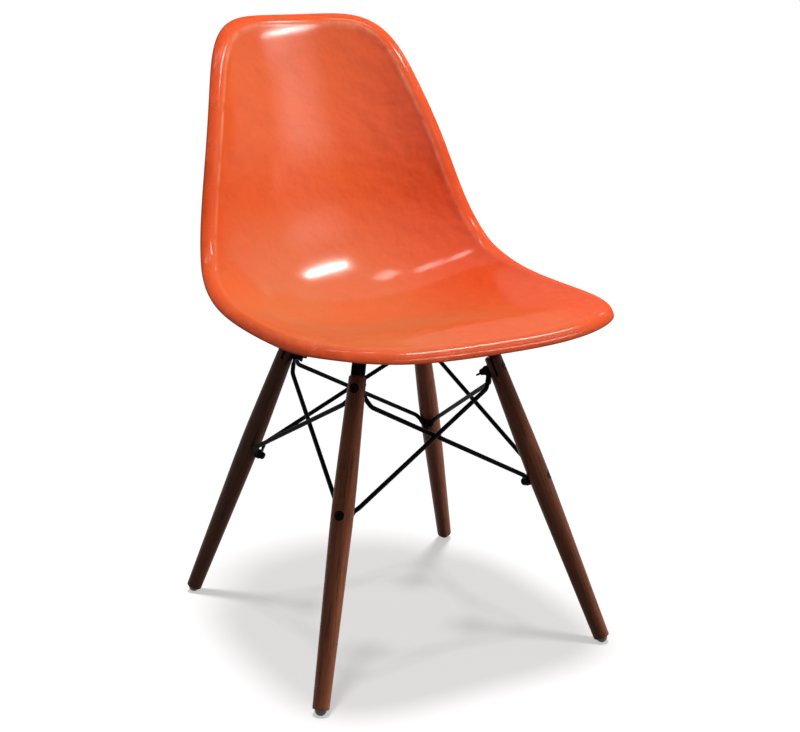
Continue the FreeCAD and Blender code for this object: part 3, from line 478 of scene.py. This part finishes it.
def use_group(nodes, group, vector, **values):
    """Places a node group. Each value is a socket or a constant, its name with _ for a space."""
    made = nodes.add("ShaderNodeGroup")
    made.node_tree = group
    nodes.join(vector, made.inputs["Vector"])
    for name, value in values.items():
        target = made.inputs[name.replace("_", " ")]
        if hasattr(value, "links"):
            nodes.join(value, target)
        else:
            target.default_value = value
    return made.outputs


def mottle(nodes, place, broad, fine, fine_share):
    """Fine variation round 0.5."""
    return use_group(nodes, fine_mottle_group(), place,
                     Broad_scale=broad, Fine_scale=fine, Fine_share=fine_share)["Value"]


def scuffs(nodes, place, scale, amount, edge=1.0):
    """Mask of scattered scuffs."""
    return use_group(nodes, surface_wear_group(), place,
                     Scale=scale, Amount=amount, Edge=edge)["Mask"]


def new_material(name):
    """Material with its nodes, the inputs of its shader, and the place on the piece."""
    material = bpy.data.materials.new(name)
    material.use_nodes = True
    nodes = Nodes(material.node_tree)
    shader = material.node_tree.nodes["Principled BSDF"]
    place = nodes.add("ShaderNodeTexCoord").outputs["Object"]
    return material, nodes, shader.inputs, place


def tint(colour, gain, lift=0.0):
    """Colour made darker or paler."""
    return tuple(min(1.0, channel * gain + lift) for channel in colour)


def dress(names, material):
    """Gives CAD nodes their material."""
    for name in names:
        mesh = NODES[name].data
        mesh.materials.clear()
        mesh.materials.append(material)


def each(prefix):
    """Names of all the CAD nodes that begin alike."""
    found = [name for name in sorted(NODES) if name.startswith(prefix)]
    if not found:
        raise RuntimeError("no pieces named " + prefix)
    return found


# Finishes

# Values between which the mottle mostly lies
MOTTLE_RANGE = (0.3, 0.7)
# Where the shell's tone changes. Each row gives two places, along one axis in metres or on a mask,
# and the tone's share at each of them. The paler seat is painted light; the redder right side,
# front and rim are painted shade; the redder drift and the pale fibres are the resin's own
BACK_TONE = (0.43, 0.56, 0.0, 1.0)
RED_SIDE = (0.0, 0.17, 0.0, 0.95)
RED_FRONT = (-0.08, -0.2, 0.0, 0.6)
RED_FRONT_ACROSS = (-0.16, 0.0, 0.0, 1.0)
RED_RIM = (0.2, 0.9, 0.0, 0.9)
RED_DRIFT = (0.58, 0.38, 0.0, 0.5)
PALE_FIBRES = (0.58, 0.74, 0.0, 0.45)
# The same for the pale band painted along the rim's ridge as a highlight: its inner and outer side
# on the rim mask, the patches along it, and the heights between which it fades downwards
RIDGE_INSIDE = (0.22, 0.42)
RIDGE_OUTSIDE = (0.6, 0.44)
RIDGE_PATCHES = (0.3, 0.6, 0.1, 0.5)
RIDGE_HEIGHTS = (0.46, 0.6, 0.1, 1.0)
# The polish is thinner edge on, towards the rim, and in a band where a sitter's back rubs: height
# of the band, and how the polish comes back with the distance from it
POLISH_FACING = (0.3, 0.8)
EDGE_ON_POLISH = 0.12
RIM_POLISH = (0.2, 1.0, 1.0, 0.25)
RUBBED_HEIGHT = 0.565
RUBBED_BAND = (0.015, 0.07, 0.35, 1.0)


def resin_colour(nodes, settings, place, drift, rim):
    """Orange with painted light and shade: paler on the seat, redder at the right, the front and
    the rim, and redder at random with the drift.
    """
    spots = nodes.split(place)
    face = nodes.blend(nodes.level(spots["Z"], *BACK_TONE), settings.painted_light_seat_colour, settings.colour)
    side = nodes.level(spots["X"], *RED_SIDE)
    front = nodes.maths("MULTIPLY", nodes.level(spots["Y"], *RED_FRONT),
                        nodes.level(spots["X"], *RED_FRONT_ACROSS))
    # Painted shade on the right side, the front and the rim, with the resin's own random redness
    # from the drift
    shade_and_drift = nodes.maths("MAXIMUM",
                       nodes.maths("MAXIMUM", side, nodes.level(rim, *RED_RIM)),
                       nodes.maths("MAXIMUM", front, nodes.level(drift, *RED_DRIFT)))
    colour = nodes.blend(shade_and_drift, face, settings.shade_and_drift_colour)
    fibres = nodes.mapped(place, Rotation=(0.3, 0.5, 0.9), Scale=(1.0, 0.16, 0.6))
    strands = nodes.noise(fibres, 520.0, detail=3.0, roughness=0.65, distortion=1.5)
    pale = tint(settings.colour, gain=1.1, lift=0.02)
    return nodes.blend(nodes.level(strands, *PALE_FIBRES), colour, pale)


def painted_ridge_highlight(nodes, place, rim):
    """Mask of the pale, patchy band painted along the rim's ridge as a highlight."""
    ridge = nodes.maths("MULTIPLY", nodes.level(rim, *RIDGE_INSIDE),
                        nodes.level(rim, *RIDGE_OUTSIDE))
    patches = nodes.level(nodes.noise(place, 45.0, detail=3.0, roughness=0.6), *RIDGE_PATCHES)
    heights = nodes.level(nodes.split(place)["Z"], *RIDGE_HEIGHTS)
    return nodes.maths("MULTIPLY", nodes.maths("MULTIPLY", ridge, patches), heights)


def polish_weight(nodes, settings, place, rim):
    """Polish that shows most where it is seen square on."""
    facing = nodes.add("ShaderNodeLayerWeight", Blend=0.5).outputs["Facing"]
    polish = nodes.level(facing, *POLISH_FACING,
                         settings.polish, settings.polish * EDGE_ON_POLISH)
    above = nodes.maths("SUBTRACT", nodes.split(place)["Z"], RUBBED_HEIGHT)
    band = nodes.level(nodes.maths("ABSOLUTE", above, 0.0), *RUBBED_BAND)
    rubbed = nodes.maths("MULTIPLY", nodes.level(rim, *RIM_POLISH), band)
    return nodes.maths("MULTIPLY", polish, rubbed)


def moulded_orange(settings):
    """Polished glass-fibre resin: fibre speckle, drifting colour with painted light and shade, a
    scuffed rim with a painted highlight along its ridge, slight waves.
    """
    material, nodes, shader, place = new_material("moulded orange")
    rim = nodes.add("ShaderNodeAttribute", attribute_name="rim").outputs["Fac"]
    drift = mottle(nodes, place, broad=5.0, fine=420.0, fine_share=0.45)
    wear = scuffs(nodes, place, scale=26.0, amount=0.6, edge=rim)
    # Scuffs on the rim, and the pale band painted as a highlight along the rim's ridge
    worn = nodes.maths("MAXIMUM", wear, painted_ridge_highlight(nodes, place, rim))
    nodes.join(nodes.blend(worn, resin_colour(nodes, settings, place, drift, rim),
                           settings.worn_and_highlight_colour), shader["Base Color"])
    gloss = nodes.level(drift, *MOTTLE_RANGE,
                        settings.roughness - 0.04, settings.roughness + 0.06)
    nodes.join(nodes.maths("ADD", gloss, nodes.maths("MULTIPLY", wear, 0.3)),
               shader["Roughness"])
    nodes.join(polish_weight(nodes, settings, place, rim), shader["Coat Weight"])
    shader["Specular IOR Level"].default_value = 0.0
    shader["Coat Roughness"].default_value = 0.14
    waves = nodes.bump(nodes.noise(place, 38.0, roughness=0.45), strength=0.5, distance=0.007)
    peel = nodes.add("ShaderNodeBump", Strength=0.05, Distance=0.001)
    nodes.join(nodes.noise(place, 260.0, detail=3.0, roughness=0.6), peel.inputs["Height"])
    nodes.join(waves, peel.inputs["Normal"])
    nodes.join(peel.outputs["Normal"], shader["Normal"])
    return material


# Fineness of the walnut's bands, lines and pores, across the leg twice and then along it
GRAIN_BANDS = (110, 70, 5)
GRAIN_LINES = (420, 420, 14)
GRAIN_PORES = (1300, 1300, 55)
# Where they begin and are full, each on its own noise
LIGHT_BANDS = (0.35, 0.65)
DARK_LINES = (0.5, 0.68, 0.0, 0.75)
OPEN_PORES = (0.62, 0.72)
# Shift of the grain along the leg, in metres for each letter of the corner's name
GRAIN_SHIFT = 0.37


def wood_grain_group():
    """Straight walnut grain along Z: colour, gloss and pore depth."""
    if "wood grain" in bpy.data.node_groups:
        return bpy.data.node_groups["wood grain"]
    group, nodes, given, wanted = new_group(
        "wood grain",
        (("Vector", "NodeSocketVector", None),
         ("Colour", "NodeSocketColor", (0.1, 0.04, 0.02, 1)),
         ("Dark colour", "NodeSocketColor", (0.03, 0.01, 0.01, 1)),
         ("Light colour", "NodeSocketColor", (0.2, 0.08, 0.05, 1))),
        (("Color", "NodeSocketColor"), ("Height", "NodeSocketFloat"),
         ("Gloss", "NodeSocketFloat")))
    vector = given["Vector"]
    bands = nodes.noise(nodes.mapped(vector, Scale=GRAIN_BANDS), 1.0,
                        detail=4.0, roughness=0.6, distortion=0.8)
    lines = nodes.noise(nodes.mapped(vector, Scale=GRAIN_LINES), 1.0,
                        detail=3.0, roughness=0.65, distortion=0.3)
    pores = nodes.noise(nodes.mapped(vector, Scale=GRAIN_PORES), 1.0, detail=1.0)
    base = nodes.blend(nodes.level(bands, *LIGHT_BANDS), given["Colour"], given["Light colour"])
    dark = nodes.blend(nodes.level(lines, *DARK_LINES), base, given["Dark colour"])
    pits = nodes.level(pores, *OPEN_PORES)
    nodes.join(nodes.blend(nodes.maths("MULTIPLY", pits, 0.6), dark, given["Dark colour"]),
               wanted["Color"])
    nodes.join(nodes.maths("SUBTRACT", nodes.maths("MULTIPLY", bands, 0.5), pits),
               wanted["Height"])
    nodes.join(nodes.maths("ADD", nodes.maths("MULTIPLY", lines, 0.3),
                           nodes.maths("MULTIPLY", pits, 0.3)), wanted["Gloss"])
    return group


def leg_space(corner):
    """Turn and foot that carry object space to the leg's own space, with Z along the leg."""
    sx, sy = CORNERS[corner]
    up = Vector((-sx * LEG_RAKE, -sy * LEG_RAKE, 1)).normalized()
    side = Vector((-sy, sx, 0)).normalized()
    forward = side.cross(up)
    turn = Matrix((forward, side, up))
    foot = Vector((sx * LEG_SPREAD, sy * LEG_SPREAD + LEGS_MIDDLE, 0))
    return turn, foot


def walnut(settings, corner):
    """Dark stained walnut with low sheen: grain along one leg, with painted shade over the whole
    leg and more of it near its top.
    """
    material, nodes, shader, place = new_material("walnut " + corner.replace("_", " "))
    turn, foot = leg_space(corner)
    shift = Vector((0, 0, GRAIN_SHIFT * len(corner)))
    grain = use_group(
        nodes, wood_grain_group(),
        nodes.mapped(place, Rotation=turn.to_euler("XYZ"), Location=-(turn @ foot) + shift),
        Colour=(*settings.colour, 1), Dark_colour=(*settings.dark_colour, 1),
        Light_colour=(*settings.light_colour, 1))
    wear = scuffs(nodes, place, scale=30.0, amount=0.25)
    worn = nodes.blend(wear, grain["Color"], settings.light_colour)
    # Painted shade: the leg's own share, and a darker share near its top, under the shell
    tone = LEG_PAINTED_SHADE[corner]
    stain_and_shade = nodes.level(nodes.split(place)["Z"], *LEG_TOP_SHADE_HEIGHTS, tone, tone * LEG_TOP_SHADE_SHARE)
    stained_and_shaded = nodes.add("ShaderNodeVectorMath", operation="SCALE")
    nodes.join(worn, stained_and_shaded.inputs[0])
    nodes.join(stain_and_shade, stained_and_shaded.inputs["Scale"])
    nodes.join(stained_and_shaded.outputs[0], shader["Base Color"])
    nodes.join(nodes.maths("ADD", nodes.maths("SUBTRACT", grain["Gloss"], 0.15),
                           settings.roughness), shader["Roughness"])
    nodes.join(nodes.bump(grain["Height"], strength=0.25, distance=0.0006), shader["Normal"])
    shader["Specular IOR Level"].default_value = 0.1
    return material


def powder_coat(settings):
    """Satin black powder coat with a faint orange-peel texture and rubbed spots."""
    material, nodes, shader, place = new_material("black powder coat")
    drift = mottle(nodes, place, broad=30.0, fine=900.0, fine_share=0.5)
    wear = scuffs(nodes, place, scale=45.0, amount=0.6)
    rubbed = tint(settings.black, gain=3.2, lift=0.01)
    nodes.join(nodes.blend(wear, settings.black, rubbed), shader["Base Color"])
    gloss = nodes.level(drift, *MOTTLE_RANGE,
                        settings.black_roughness - 0.07, settings.black_roughness + 0.1)
    nodes.join(gloss, shader["Roughness"])
    nodes.join(nodes.bump(nodes.noise(place, 1400.0), strength=0.12, distance=0.0003),
               shader["Normal"])
    shader["Specular IOR Level"].default_value = 0.025
    return material


def mount_rubber(settings):
    """Matt black rubber with a dusty bloom."""
    material, nodes, shader, place = new_material("mount rubber")
    drift = mottle(nodes, place, broad=60.0, fine=1200.0, fine_share=0.4)
    bloom = tint(settings.rubber, gain=2.6, lift=0.012)
    nodes.join(nodes.blend(nodes.level(drift, 0.45, 0.7), settings.rubber, bloom),
               shader["Base Color"])
    nodes.join(nodes.level(drift, *MOTTLE_RANGE, 0.68, 0.86), shader["Roughness"])
    nodes.join(nodes.bump(drift, strength=0.2, distance=0.0004), shader["Normal"])
    return material


def zinc_plate(settings):
    """Dull zinc with faint turning marks."""
    material, nodes, shader, place = new_material("zinc plate")
    drift = mottle(nodes, place, broad=90.0, fine=1500.0, fine_share=0.5)
    dull = tint(settings.zinc, gain=0.62)
    nodes.join(nodes.blend(nodes.level(drift, 0.38, 0.62), dull, settings.zinc),
               shader["Base Color"])
    nodes.join(nodes.level(drift, *MOTTLE_RANGE, 0.3, 0.5), shader["Roughness"])
    shader["Metallic"].default_value = 1.0
    nodes.join(nodes.bump(drift, strength=0.1, distance=0.0003), shader["Normal"])
    return material


def glide_nylon(settings):
    """Dark nylon, scuffed where it slides."""
    material, nodes, shader, place = new_material("glide nylon")
    wear = scuffs(nodes, place, scale=120.0, amount=0.8)
    scuffed = tint(settings.nylon, gain=0.5)
    nodes.join(nodes.blend(wear, settings.nylon, scuffed), shader["Base Color"])
    nodes.join(nodes.level(wear, 0.0, 1.0, 0.45, 0.75), shader["Roughness"])
    nodes.join(nodes.bump(nodes.noise(place, 700.0, detail=3.0), strength=0.1, distance=0.0003),
               shader["Normal"])
    return material


# Operators, one for each piece or group of like pieces

class CHAIR_OT_seat_shell(bpy.types.Operator):
    """Moulds the one-piece seat and back with its rolled rim"""
    bl_idname = "chair.seat_shell"
    bl_label = "Seat shell"

    def execute(self, context):
        settings = context.scene.chair_shell
        deselect()
        bpy.ops.mesh.primitive_grid_add(
            x_subdivisions=settings.steps_across, y_subdivisions=settings.steps_along, size=2)
        shell = context.object
        shell.name = "moulded_shell"
        self.lay_on_form(shell, settings)
        bpy.ops.object.shade_smooth()
        wall = shell.modifiers.new("wall", "SOLIDIFY")
        wall.thickness = settings.wall
        wall.offset = -1
        wall.use_even_offset = True
        bpy.ops.object.modifier_apply(modifier=wall.name)
        shell.data.materials.clear()
        shell.data.materials.append(moulded_orange(settings))
        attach(shell, "root")
        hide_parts("seat_shell")
        return {"FINISHED"}

    def lay_on_form(self, shell, settings):
        """Moves the flat grid on to the shell's form, then rolls the rim from its border."""
        mesh = bmesh.new()
        mesh.from_mesh(shell.data)
        rim = mesh.verts.layers.float.new("rim")
        turns = {}
        for vertex in mesh.verts:
            turn = math.atan2(vertex.co.y, vertex.co.x)
            inner = max(0.0, 1 - max(abs(vertex.co.x), abs(vertex.co.y)))
            share = 1 - inner ** ROW_POWER
            turns[vertex] = turn
            vertex.co = self.face_point(turn, share, settings)
            vertex[rim] = max(0.0, (share - MASK_START) / MASK_WIDTH) ** 2 * MASK_AT_EDGE
        border = [edge for edge in mesh.edges if edge.is_boundary]
        for number in range(1, RIM_STEPS + 1):
            angle = settings.rim_turn * number / RIM_STEPS
            border, fresh = self.next_ring(mesh, border, turns)
            for vertex, turn in fresh.items():
                turns[vertex] = turn
                vertex.co = self.roll_point(turn, angle, settings)
                vertex[rim] = MASK_AT_EDGE + (1 - MASK_AT_EDGE) * math.sin(angle)
        mesh.normal_update()
        upward = sum(face.normal.z * face.calc_area() for face in mesh.faces)
        if upward < 0:
            bmesh.ops.reverse_faces(mesh, faces=mesh.faces)
        self.put_in_order(mesh)
        mesh.to_mesh(shell.data)
        mesh.free()

    def next_ring(self, mesh, border, turns):
        """Extrudes the border. Gives the new border, and its corners' turns round the rim."""
        made = bmesh.ops.extrude_edge_only(mesh, edges=border)["geom"]
        border = [item for item in made
                  if isinstance(item, bmesh.types.BMEdge) and item.is_boundary]
        fresh = {vertex: None for edge in border for vertex in edge.verts}
        for vertex in fresh:
            ends = [edge.other_vert(vertex) for edge in vertex.link_edges]
            old = [end for end in ends if end in turns and end not in fresh][0]
            fresh[vertex] = turns[old]
        return border, fresh

    def put_in_order(self, mesh):
        """Sorts edges and faces by their corners. The extrusion leaves them in a chance order."""
        mesh.verts.index_update()
        count = len(mesh.verts)

        def by_corners(item):
            corners = sorted(vertex.index for vertex in item.verts)
            third = corners[2] if len(corners) > 2 else 0
            return (corners[0] * count + corners[1]) * count + third

        mesh.edges.sort(key=by_corners)
        mesh.faces.sort(key=by_corners)

    def face_point(self, turn, share, settings):
        """Point of the upper face, which sweeps up a little towards the rim."""
        edge = shell_edge(turn, share)
        here = shell_point(*edge)
        gap = (shell_point(*shell_edge(turn, 1.0)) - here).length
        rise = max(0.0, 1 - gap / settings.sweep_width) ** 2 * settings.sweep_rise
        return here + shell_normal(*edge) * rise

    def roll_point(self, turn, angle, settings):
        """Point of the rolled rim, at an angle down from the edge of the face."""
        radius = settings.rim_roll
        here = self.face_point(turn, 1.0, settings)
        before = shell_point(*shell_edge(turn - NUDGE, 1.0))
        after = shell_point(*shell_edge(turn + NUDGE, 1.0))
        normal = shell_normal(*shell_edge(turn, 1.0))
        outward = (after - before).normalized().cross(normal)
        down = normal * radius * (1 - math.cos(angle))
        return here - down + outward * radius * math.sin(angle)


class CHAIR_OT_legs(bpy.types.Operator):
    """Finishes the four turned legs in dark walnut"""
    bl_idname = "chair.legs"
    bl_label = "Legs"

    def execute(self, context):
        for corner in CORNERS:
            dress(["leg_" + corner], walnut(context.scene.chair_wood, corner))
        return {"FINISHED"}


class CHAIR_OT_ironwork(bpy.types.Operator):
    """Finishes the crossed rods, brackets, bolts and nuts in black"""
    bl_idname = "chair.ironwork"
    bl_label = "Rods and fittings"

    def execute(self, context):
        black = powder_coat(context.scene.chair_fittings)
        for prefix in ("strut_", "bracket_", "upper_bolt_", "lower_bolt_", "cap_nut_",
                       "wing_nut_", "shell_bolt_f", "shell_bolt_r"):
            dress(each(prefix), black)
        return {"FINISHED"}


class CHAIR_OT_mounts(bpy.types.Operator):
    """Finishes the rubber mounts under the shell, their inserts and washers"""
    bl_idname = "chair.mounts"
    bl_label = "Shell mounts"

    def execute(self, context):
        settings = context.scene.chair_fittings
        dress(each("shock_mount_"), mount_rubber(settings))
        dress(each("mount_insert_") + ["shell_bolt_washers"], zinc_plate(settings))
        return {"FINISHED"}


class CHAIR_OT_glides(bpy.types.Operator):
    """Finishes the floor glides and the nails that hold them"""
    bl_idname = "chair.glides"
    bl_label = "Floor glides"

    def execute(self, context):
        settings = context.scene.chair_fittings
        dress(each("glide_f") + each("glide_r"), glide_nylon(settings))
        zinc = bpy.data.materials.get("zinc plate") or zinc_plate(settings)
        dress(["glide_nails"], zinc)
        return {"FINISHED"}


# Stage

# Points that the camera and the lamps are aimed at, in metres
CAMERA_AIM = (0.01524, LEGS_MIDDLE, 0.35677)
CHAIR_MIDDLE = (0, 0.1, 0.45)
BACK_MIDDLE = (0, 0.23, 0.68)
BACK_TOP = (0, 0.25, 0.776)
BASE_MIDDLE = (0, 0, 0.2)
# Width of the camera's sensor in millimetres, and how far it sees in metres
SENSOR_WIDTH = 36
VIEW_END = 50
# Width of the floor in metres, and the share of its colour that it sends back on to the chair
FLOOR_WIDTH = 14
FLOOR_BOUNCE = 0.45


class Lamp(NamedTuple):
    """Soft lamp, with what it falls on, its sizes in metres, the setting that holds its power, its
    turn in radians, and whether it fades towards its edges, shows in reflections and lights what
    it falls on."""
    name: str
    lit: str
    place: tuple
    aim: tuple
    width: float
    height: float
    power: str
    turn: float = 0.0
    fades: bool = False
    in_reflections: bool = True
    on_surfaces: bool = True


LAMPS = (
    Lamp("key light", "chair", (1.17, -0.96, 2.3), CHAIR_MIDDLE, 0.68, 0.11,
         "key_power", turn=-0.12),
    Lamp("side light", "chair", (1.75, 0.5, 1.6), (0.1, 0.15, 0.55), 0.25, 0.3,
         "side_power"),
    Lamp("panel", "shell", (1.1, -1.46, 1.58), BACK_MIDDLE, 1.5, 0.8,
         "panel_power", fades=True),
    Lamp("ceiling light 1", "shell", (0.28, -0.6, 2.3), CHAIR_MIDDLE, 0.36, 0.26,
         "ceiling_power", turn=0.3),
    Lamp("ceiling light 2", "shell", (-0.35, -0.4, 2.3), CHAIR_MIDDLE, 0.36, 0.26,
         "ceiling_power", turn=0.3),
    Lamp("ceiling light 3", "shell", (-0.75, -0.15, 2.3), CHAIR_MIDDLE, 0.36, 0.26,
         "ceiling_power", turn=0.3),
    Lamp("far strip light", "shell", (5.2, -8.1, 2.54), BACK_TOP, 7.4, 0.36,
         "strip_power", turn=0.125, fades=True, on_surfaces=False),
    Lamp("strip glow", "shell", (4.4, -8.4, 3.38), BACK_TOP, 5.0, 0.3,
         "glow_power", in_reflections=False),
    Lamp("front light", "shell", (-0.6, -3.2, 1.9), CHAIR_MIDDLE, 2.2, 1.6,
         "front_power", in_reflections=False),
    Lamp("rear light", "chair", (1.2, 3.0, 0.8), CHAIR_MIDDLE, 2.2, 1.6,
         "rear_power", in_reflections=False),
    Lamp("right light", "base", (2.3, -1.0, 0.5), BASE_MIDDLE, 0.6, 1.0,
         "right_power", in_reflections=False),
)
# Softness in degrees of the light above the chair, and of the one that draws the legs' shadows
OVERHEAD_DEGREES = 9
LEG_SHADOW_DEGREES = 7
# A fading lamp is twice as bright near its middle, and dark at its edge
FADE_OUTWARDS = (0.1, 1.0, 2.0, 0.0)


class CHAIR_OT_stage(bpy.types.Operator):
    """Sets the camera, the soft lights and the pale floor"""
    bl_idname = "chair.stage"
    bl_label = "Stage"

    def execute(self, context):
        settings = context.scene.chair_stage
        self.place_camera(context, settings)
        floor = self.lay_floor(settings)
        shell = bpy.data.objects["moulded_shell"]
        lit = {
            "chair": self.surfaces("all but the floor", [floor], "EXCLUDE"),
            "shell": self.surfaces("shell alone", [shell], "INCLUDE"),
            "base": self.surfaces("base alone", [floor, shell], "EXCLUDE"),
        }
        self.overhead_light("overhead light", settings.overhead, OVERHEAD_DEGREES)
        streaks = self.overhead_light(
            "leg shadow light", settings.leg_shadow, LEG_SHADOW_DEGREES).light_linking
        streaks.receiver_collection = self.surfaces("floor alone", [floor], "INCLUDE")
        streaks.blocker_collection = self.surfaces("all but the shell", [shell], "EXCLUDE")
        for lamp in LAMPS:
            self.soft_light(lamp, lit[lamp.lit], getattr(settings, lamp.power))
        self.light_surroundings(context, settings)
        context.scene.view_settings.view_transform = "Standard"
        return {"FINISHED"}

    def place_camera(self, context, settings):
        """Camera at the distance, turn and height of its settings, aimed at the chair."""
        back = Vector((
            math.sin(settings.azimuth) * math.cos(settings.elevation),
            -math.cos(settings.azimuth) * math.cos(settings.elevation),
            math.sin(settings.elevation)))
        deselect()
        bpy.ops.object.camera_add(location=Vector(CAMERA_AIM) + back * settings.distance,
                                  rotation=back.to_track_quat("Z", "Y").to_euler())
        camera = context.object
        camera.name = "camera"
        camera.data.lens = settings.lens
        camera.data.sensor_width = SENSOR_WIDTH
        camera.data.clip_end = VIEW_END
        context.scene.camera = camera

    def surfaces(self, name, items, state):
        """Collection that tells a light what it reaches: the items alone, or all others."""
        group = bpy.data.collections.new(name)
        for item in items:
            group.objects.link(item)
        for member in group.collection_objects:
            member.light_linking.link_state = state
        return group

    def soft_light(self, lamp, lit, power):
        """Area light that falls on one group of surfaces, so the floor keeps its even shadow."""
        place = Vector(lamp.place)
        aim = (place - Vector(lamp.aim)).to_track_quat("Z", "Y")
        deselect()
        bpy.ops.object.light_add(
            type="AREA", location=place,
            rotation=(aim @ Quaternion((0, 0, 1), lamp.turn)).to_euler())
        light = bpy.context.object
        light.name = lamp.name
        light.data.shape = "RECTANGLE"
        light.data.size = lamp.width
        light.data.size_y = lamp.height
        light.data.energy = power
        light.light_linking.receiver_collection = lit
        light.visible_glossy = lamp.in_reflections
        light.visible_diffuse = lamp.on_surfaces
        if lamp.fades:
            self.fade_edges(light.data)

    def fade_edges(self, light):
        """Lets a light fade towards its edges, as a softbox does."""
        light.use_nodes = True
        nodes = Nodes(light.node_tree)
        sides = nodes.split(nodes.add("ShaderNodeNewGeometry").outputs["Parametric"])
        shares = []
        for axis in ("X", "Y"):
            side = nodes.level(sides[axis], 0.0, 1.0, -1.0, 1.0)
            shares.append(nodes.level(nodes.maths("ABSOLUTE", side, 0.0), *FADE_OUTWARDS))
        nodes.join(nodes.maths("MULTIPLY", *shares),
                   light.node_tree.nodes["Emission"].inputs["Strength"])

    def overhead_light(self, name, strength, degrees):
        """Light from straight above, which draws the floor's shadow and isn't mirrored."""
        deselect()
        bpy.ops.object.light_add(type="SUN", location=(0, 0, 3))
        light = bpy.context.object
        light.name = name
        light.data.energy = strength
        light.data.angle = math.radians(degrees)
        light.visible_glossy = False
        return light

    def seen_directly(self, nodes):
        """1 for what the camera sees itself, in a reflection or through glass."""
        rays = nodes.add("ShaderNodeLightPath").outputs
        mirrored = nodes.maths("MAXIMUM", rays["Is Glossy Ray"], rays["Is Transmission Ray"])
        return nodes.maths("MAXIMUM", rays["Is Camera Ray"], mirrored)

    def lay_floor(self, settings):
        """Plain floor that is white where no shadow falls."""
        deselect()
        bpy.ops.mesh.primitive_plane_add(size=FLOOR_WIDTH, location=(0, 0, 0))
        floor = bpy.context.object
        floor.name = "floor"
        material = bpy.data.materials.new("pale floor")
        material.use_nodes = True
        nodes = Nodes(material.node_tree)
        material.node_tree.nodes.remove(material.node_tree.nodes["Principled BSDF"])
        plain = nodes.add("ShaderNodeBsdfDiffuse", Color=(*settings.floor, 1))
        dim = nodes.add("ShaderNodeBsdfDiffuse", Color=(*tint(settings.floor, FLOOR_BOUNCE), 1))
        bright = nodes.add("ShaderNodeEmission", Color=(1, 1, 1, 1), Strength=settings.floor_glow)
        both = nodes.add("ShaderNodeAddShader")
        nodes.join(plain.outputs[0], both.inputs[0])
        nodes.join(bright.outputs[0], both.inputs[1])
        self.show_directly(nodes, dim, both, "Material Output")
        floor.data.materials.append(material)
        return floor

    def show_directly(self, nodes, lighting, seen, output):
        """Shows one shader to the camera and lets another one light the chair."""
        mix = nodes.add("ShaderNodeMixShader")
        nodes.join(self.seen_directly(nodes), mix.inputs[0])
        nodes.join(lighting.outputs[0], mix.inputs[1])
        nodes.join(seen.outputs[0], mix.inputs[2])
        nodes.join(mix.outputs[0], nodes.tree.nodes[output].inputs["Surface"])

    def light_surroundings(self, context, settings):
        """White behind the chair, and a dim even light on it."""
        world = bpy.data.worlds.new("pale surroundings")
        context.scene.world = world
        world.use_nodes = True
        nodes = Nodes(world.node_tree)
        soft = world.node_tree.nodes["Background"]
        soft.inputs["Color"].default_value = (1, 1, 1, 1)
        soft.inputs["Strength"].default_value = settings.ambient
        white = nodes.add("ShaderNodeBackground", Color=(1, 1, 1, 1), Strength=1.0)
        self.show_directly(nodes, soft, white, "World Output")


# Panel, registration and the run as a script

PIECES = (
    CHAIR_OT_seat_shell,
    CHAIR_OT_legs,
    CHAIR_OT_ironwork,
    CHAIR_OT_mounts,
    CHAIR_OT_glides,
)
SETTINGS = {
    "chair_shell": ShellSettings,
    "chair_wood": WoodSettings,
    "chair_fittings": FittingSettings,
    "chair_stage": StageSettings,
}


class CHAIR_PT_panel(bpy.types.Panel):
    """Lists the pieces of the chair"""
    bl_idname = "CHAIR_PT_panel"
    bl_label = "Shell chair"
    bl_space_type = "VIEW_3D"
    bl_region_type = "UI"
    bl_category = "Chair"

    def draw(self, context):
        for piece in (CHAIR_OT_stage,) + PIECES:
            self.layout.operator(piece.bl_idname)
        for name in SETTINGS:
            box = self.layout.box()
            settings = getattr(context.scene, name)
            for title in type(settings).__annotations__:
                box.prop(settings, title)


CLASSES = tuple(SETTINGS.values()) + PIECES + (CHAIR_OT_stage, CHAIR_PT_panel)


def register():
    for item in CLASSES:
        bpy.utils.register_class(item)
    for name, settings in SETTINGS.items():
        setattr(bpy.types.Scene, name, PointerProperty(type=settings))


def unregister():
    for name in SETTINGS:
        delattr(bpy.types.Scene, name)
    for item in reversed(CLASSES):
        bpy.utils.unregister_class(item)


def main():
    register()
    bpy.ops.chair.seat_shell()
    bpy.ops.chair.legs()
    bpy.ops.chair.ironwork()
    bpy.ops.chair.mounts()
    bpy.ops.chair.glides()
    bpy.ops.chair.stage()


if __name__ == "__main__":
    main()
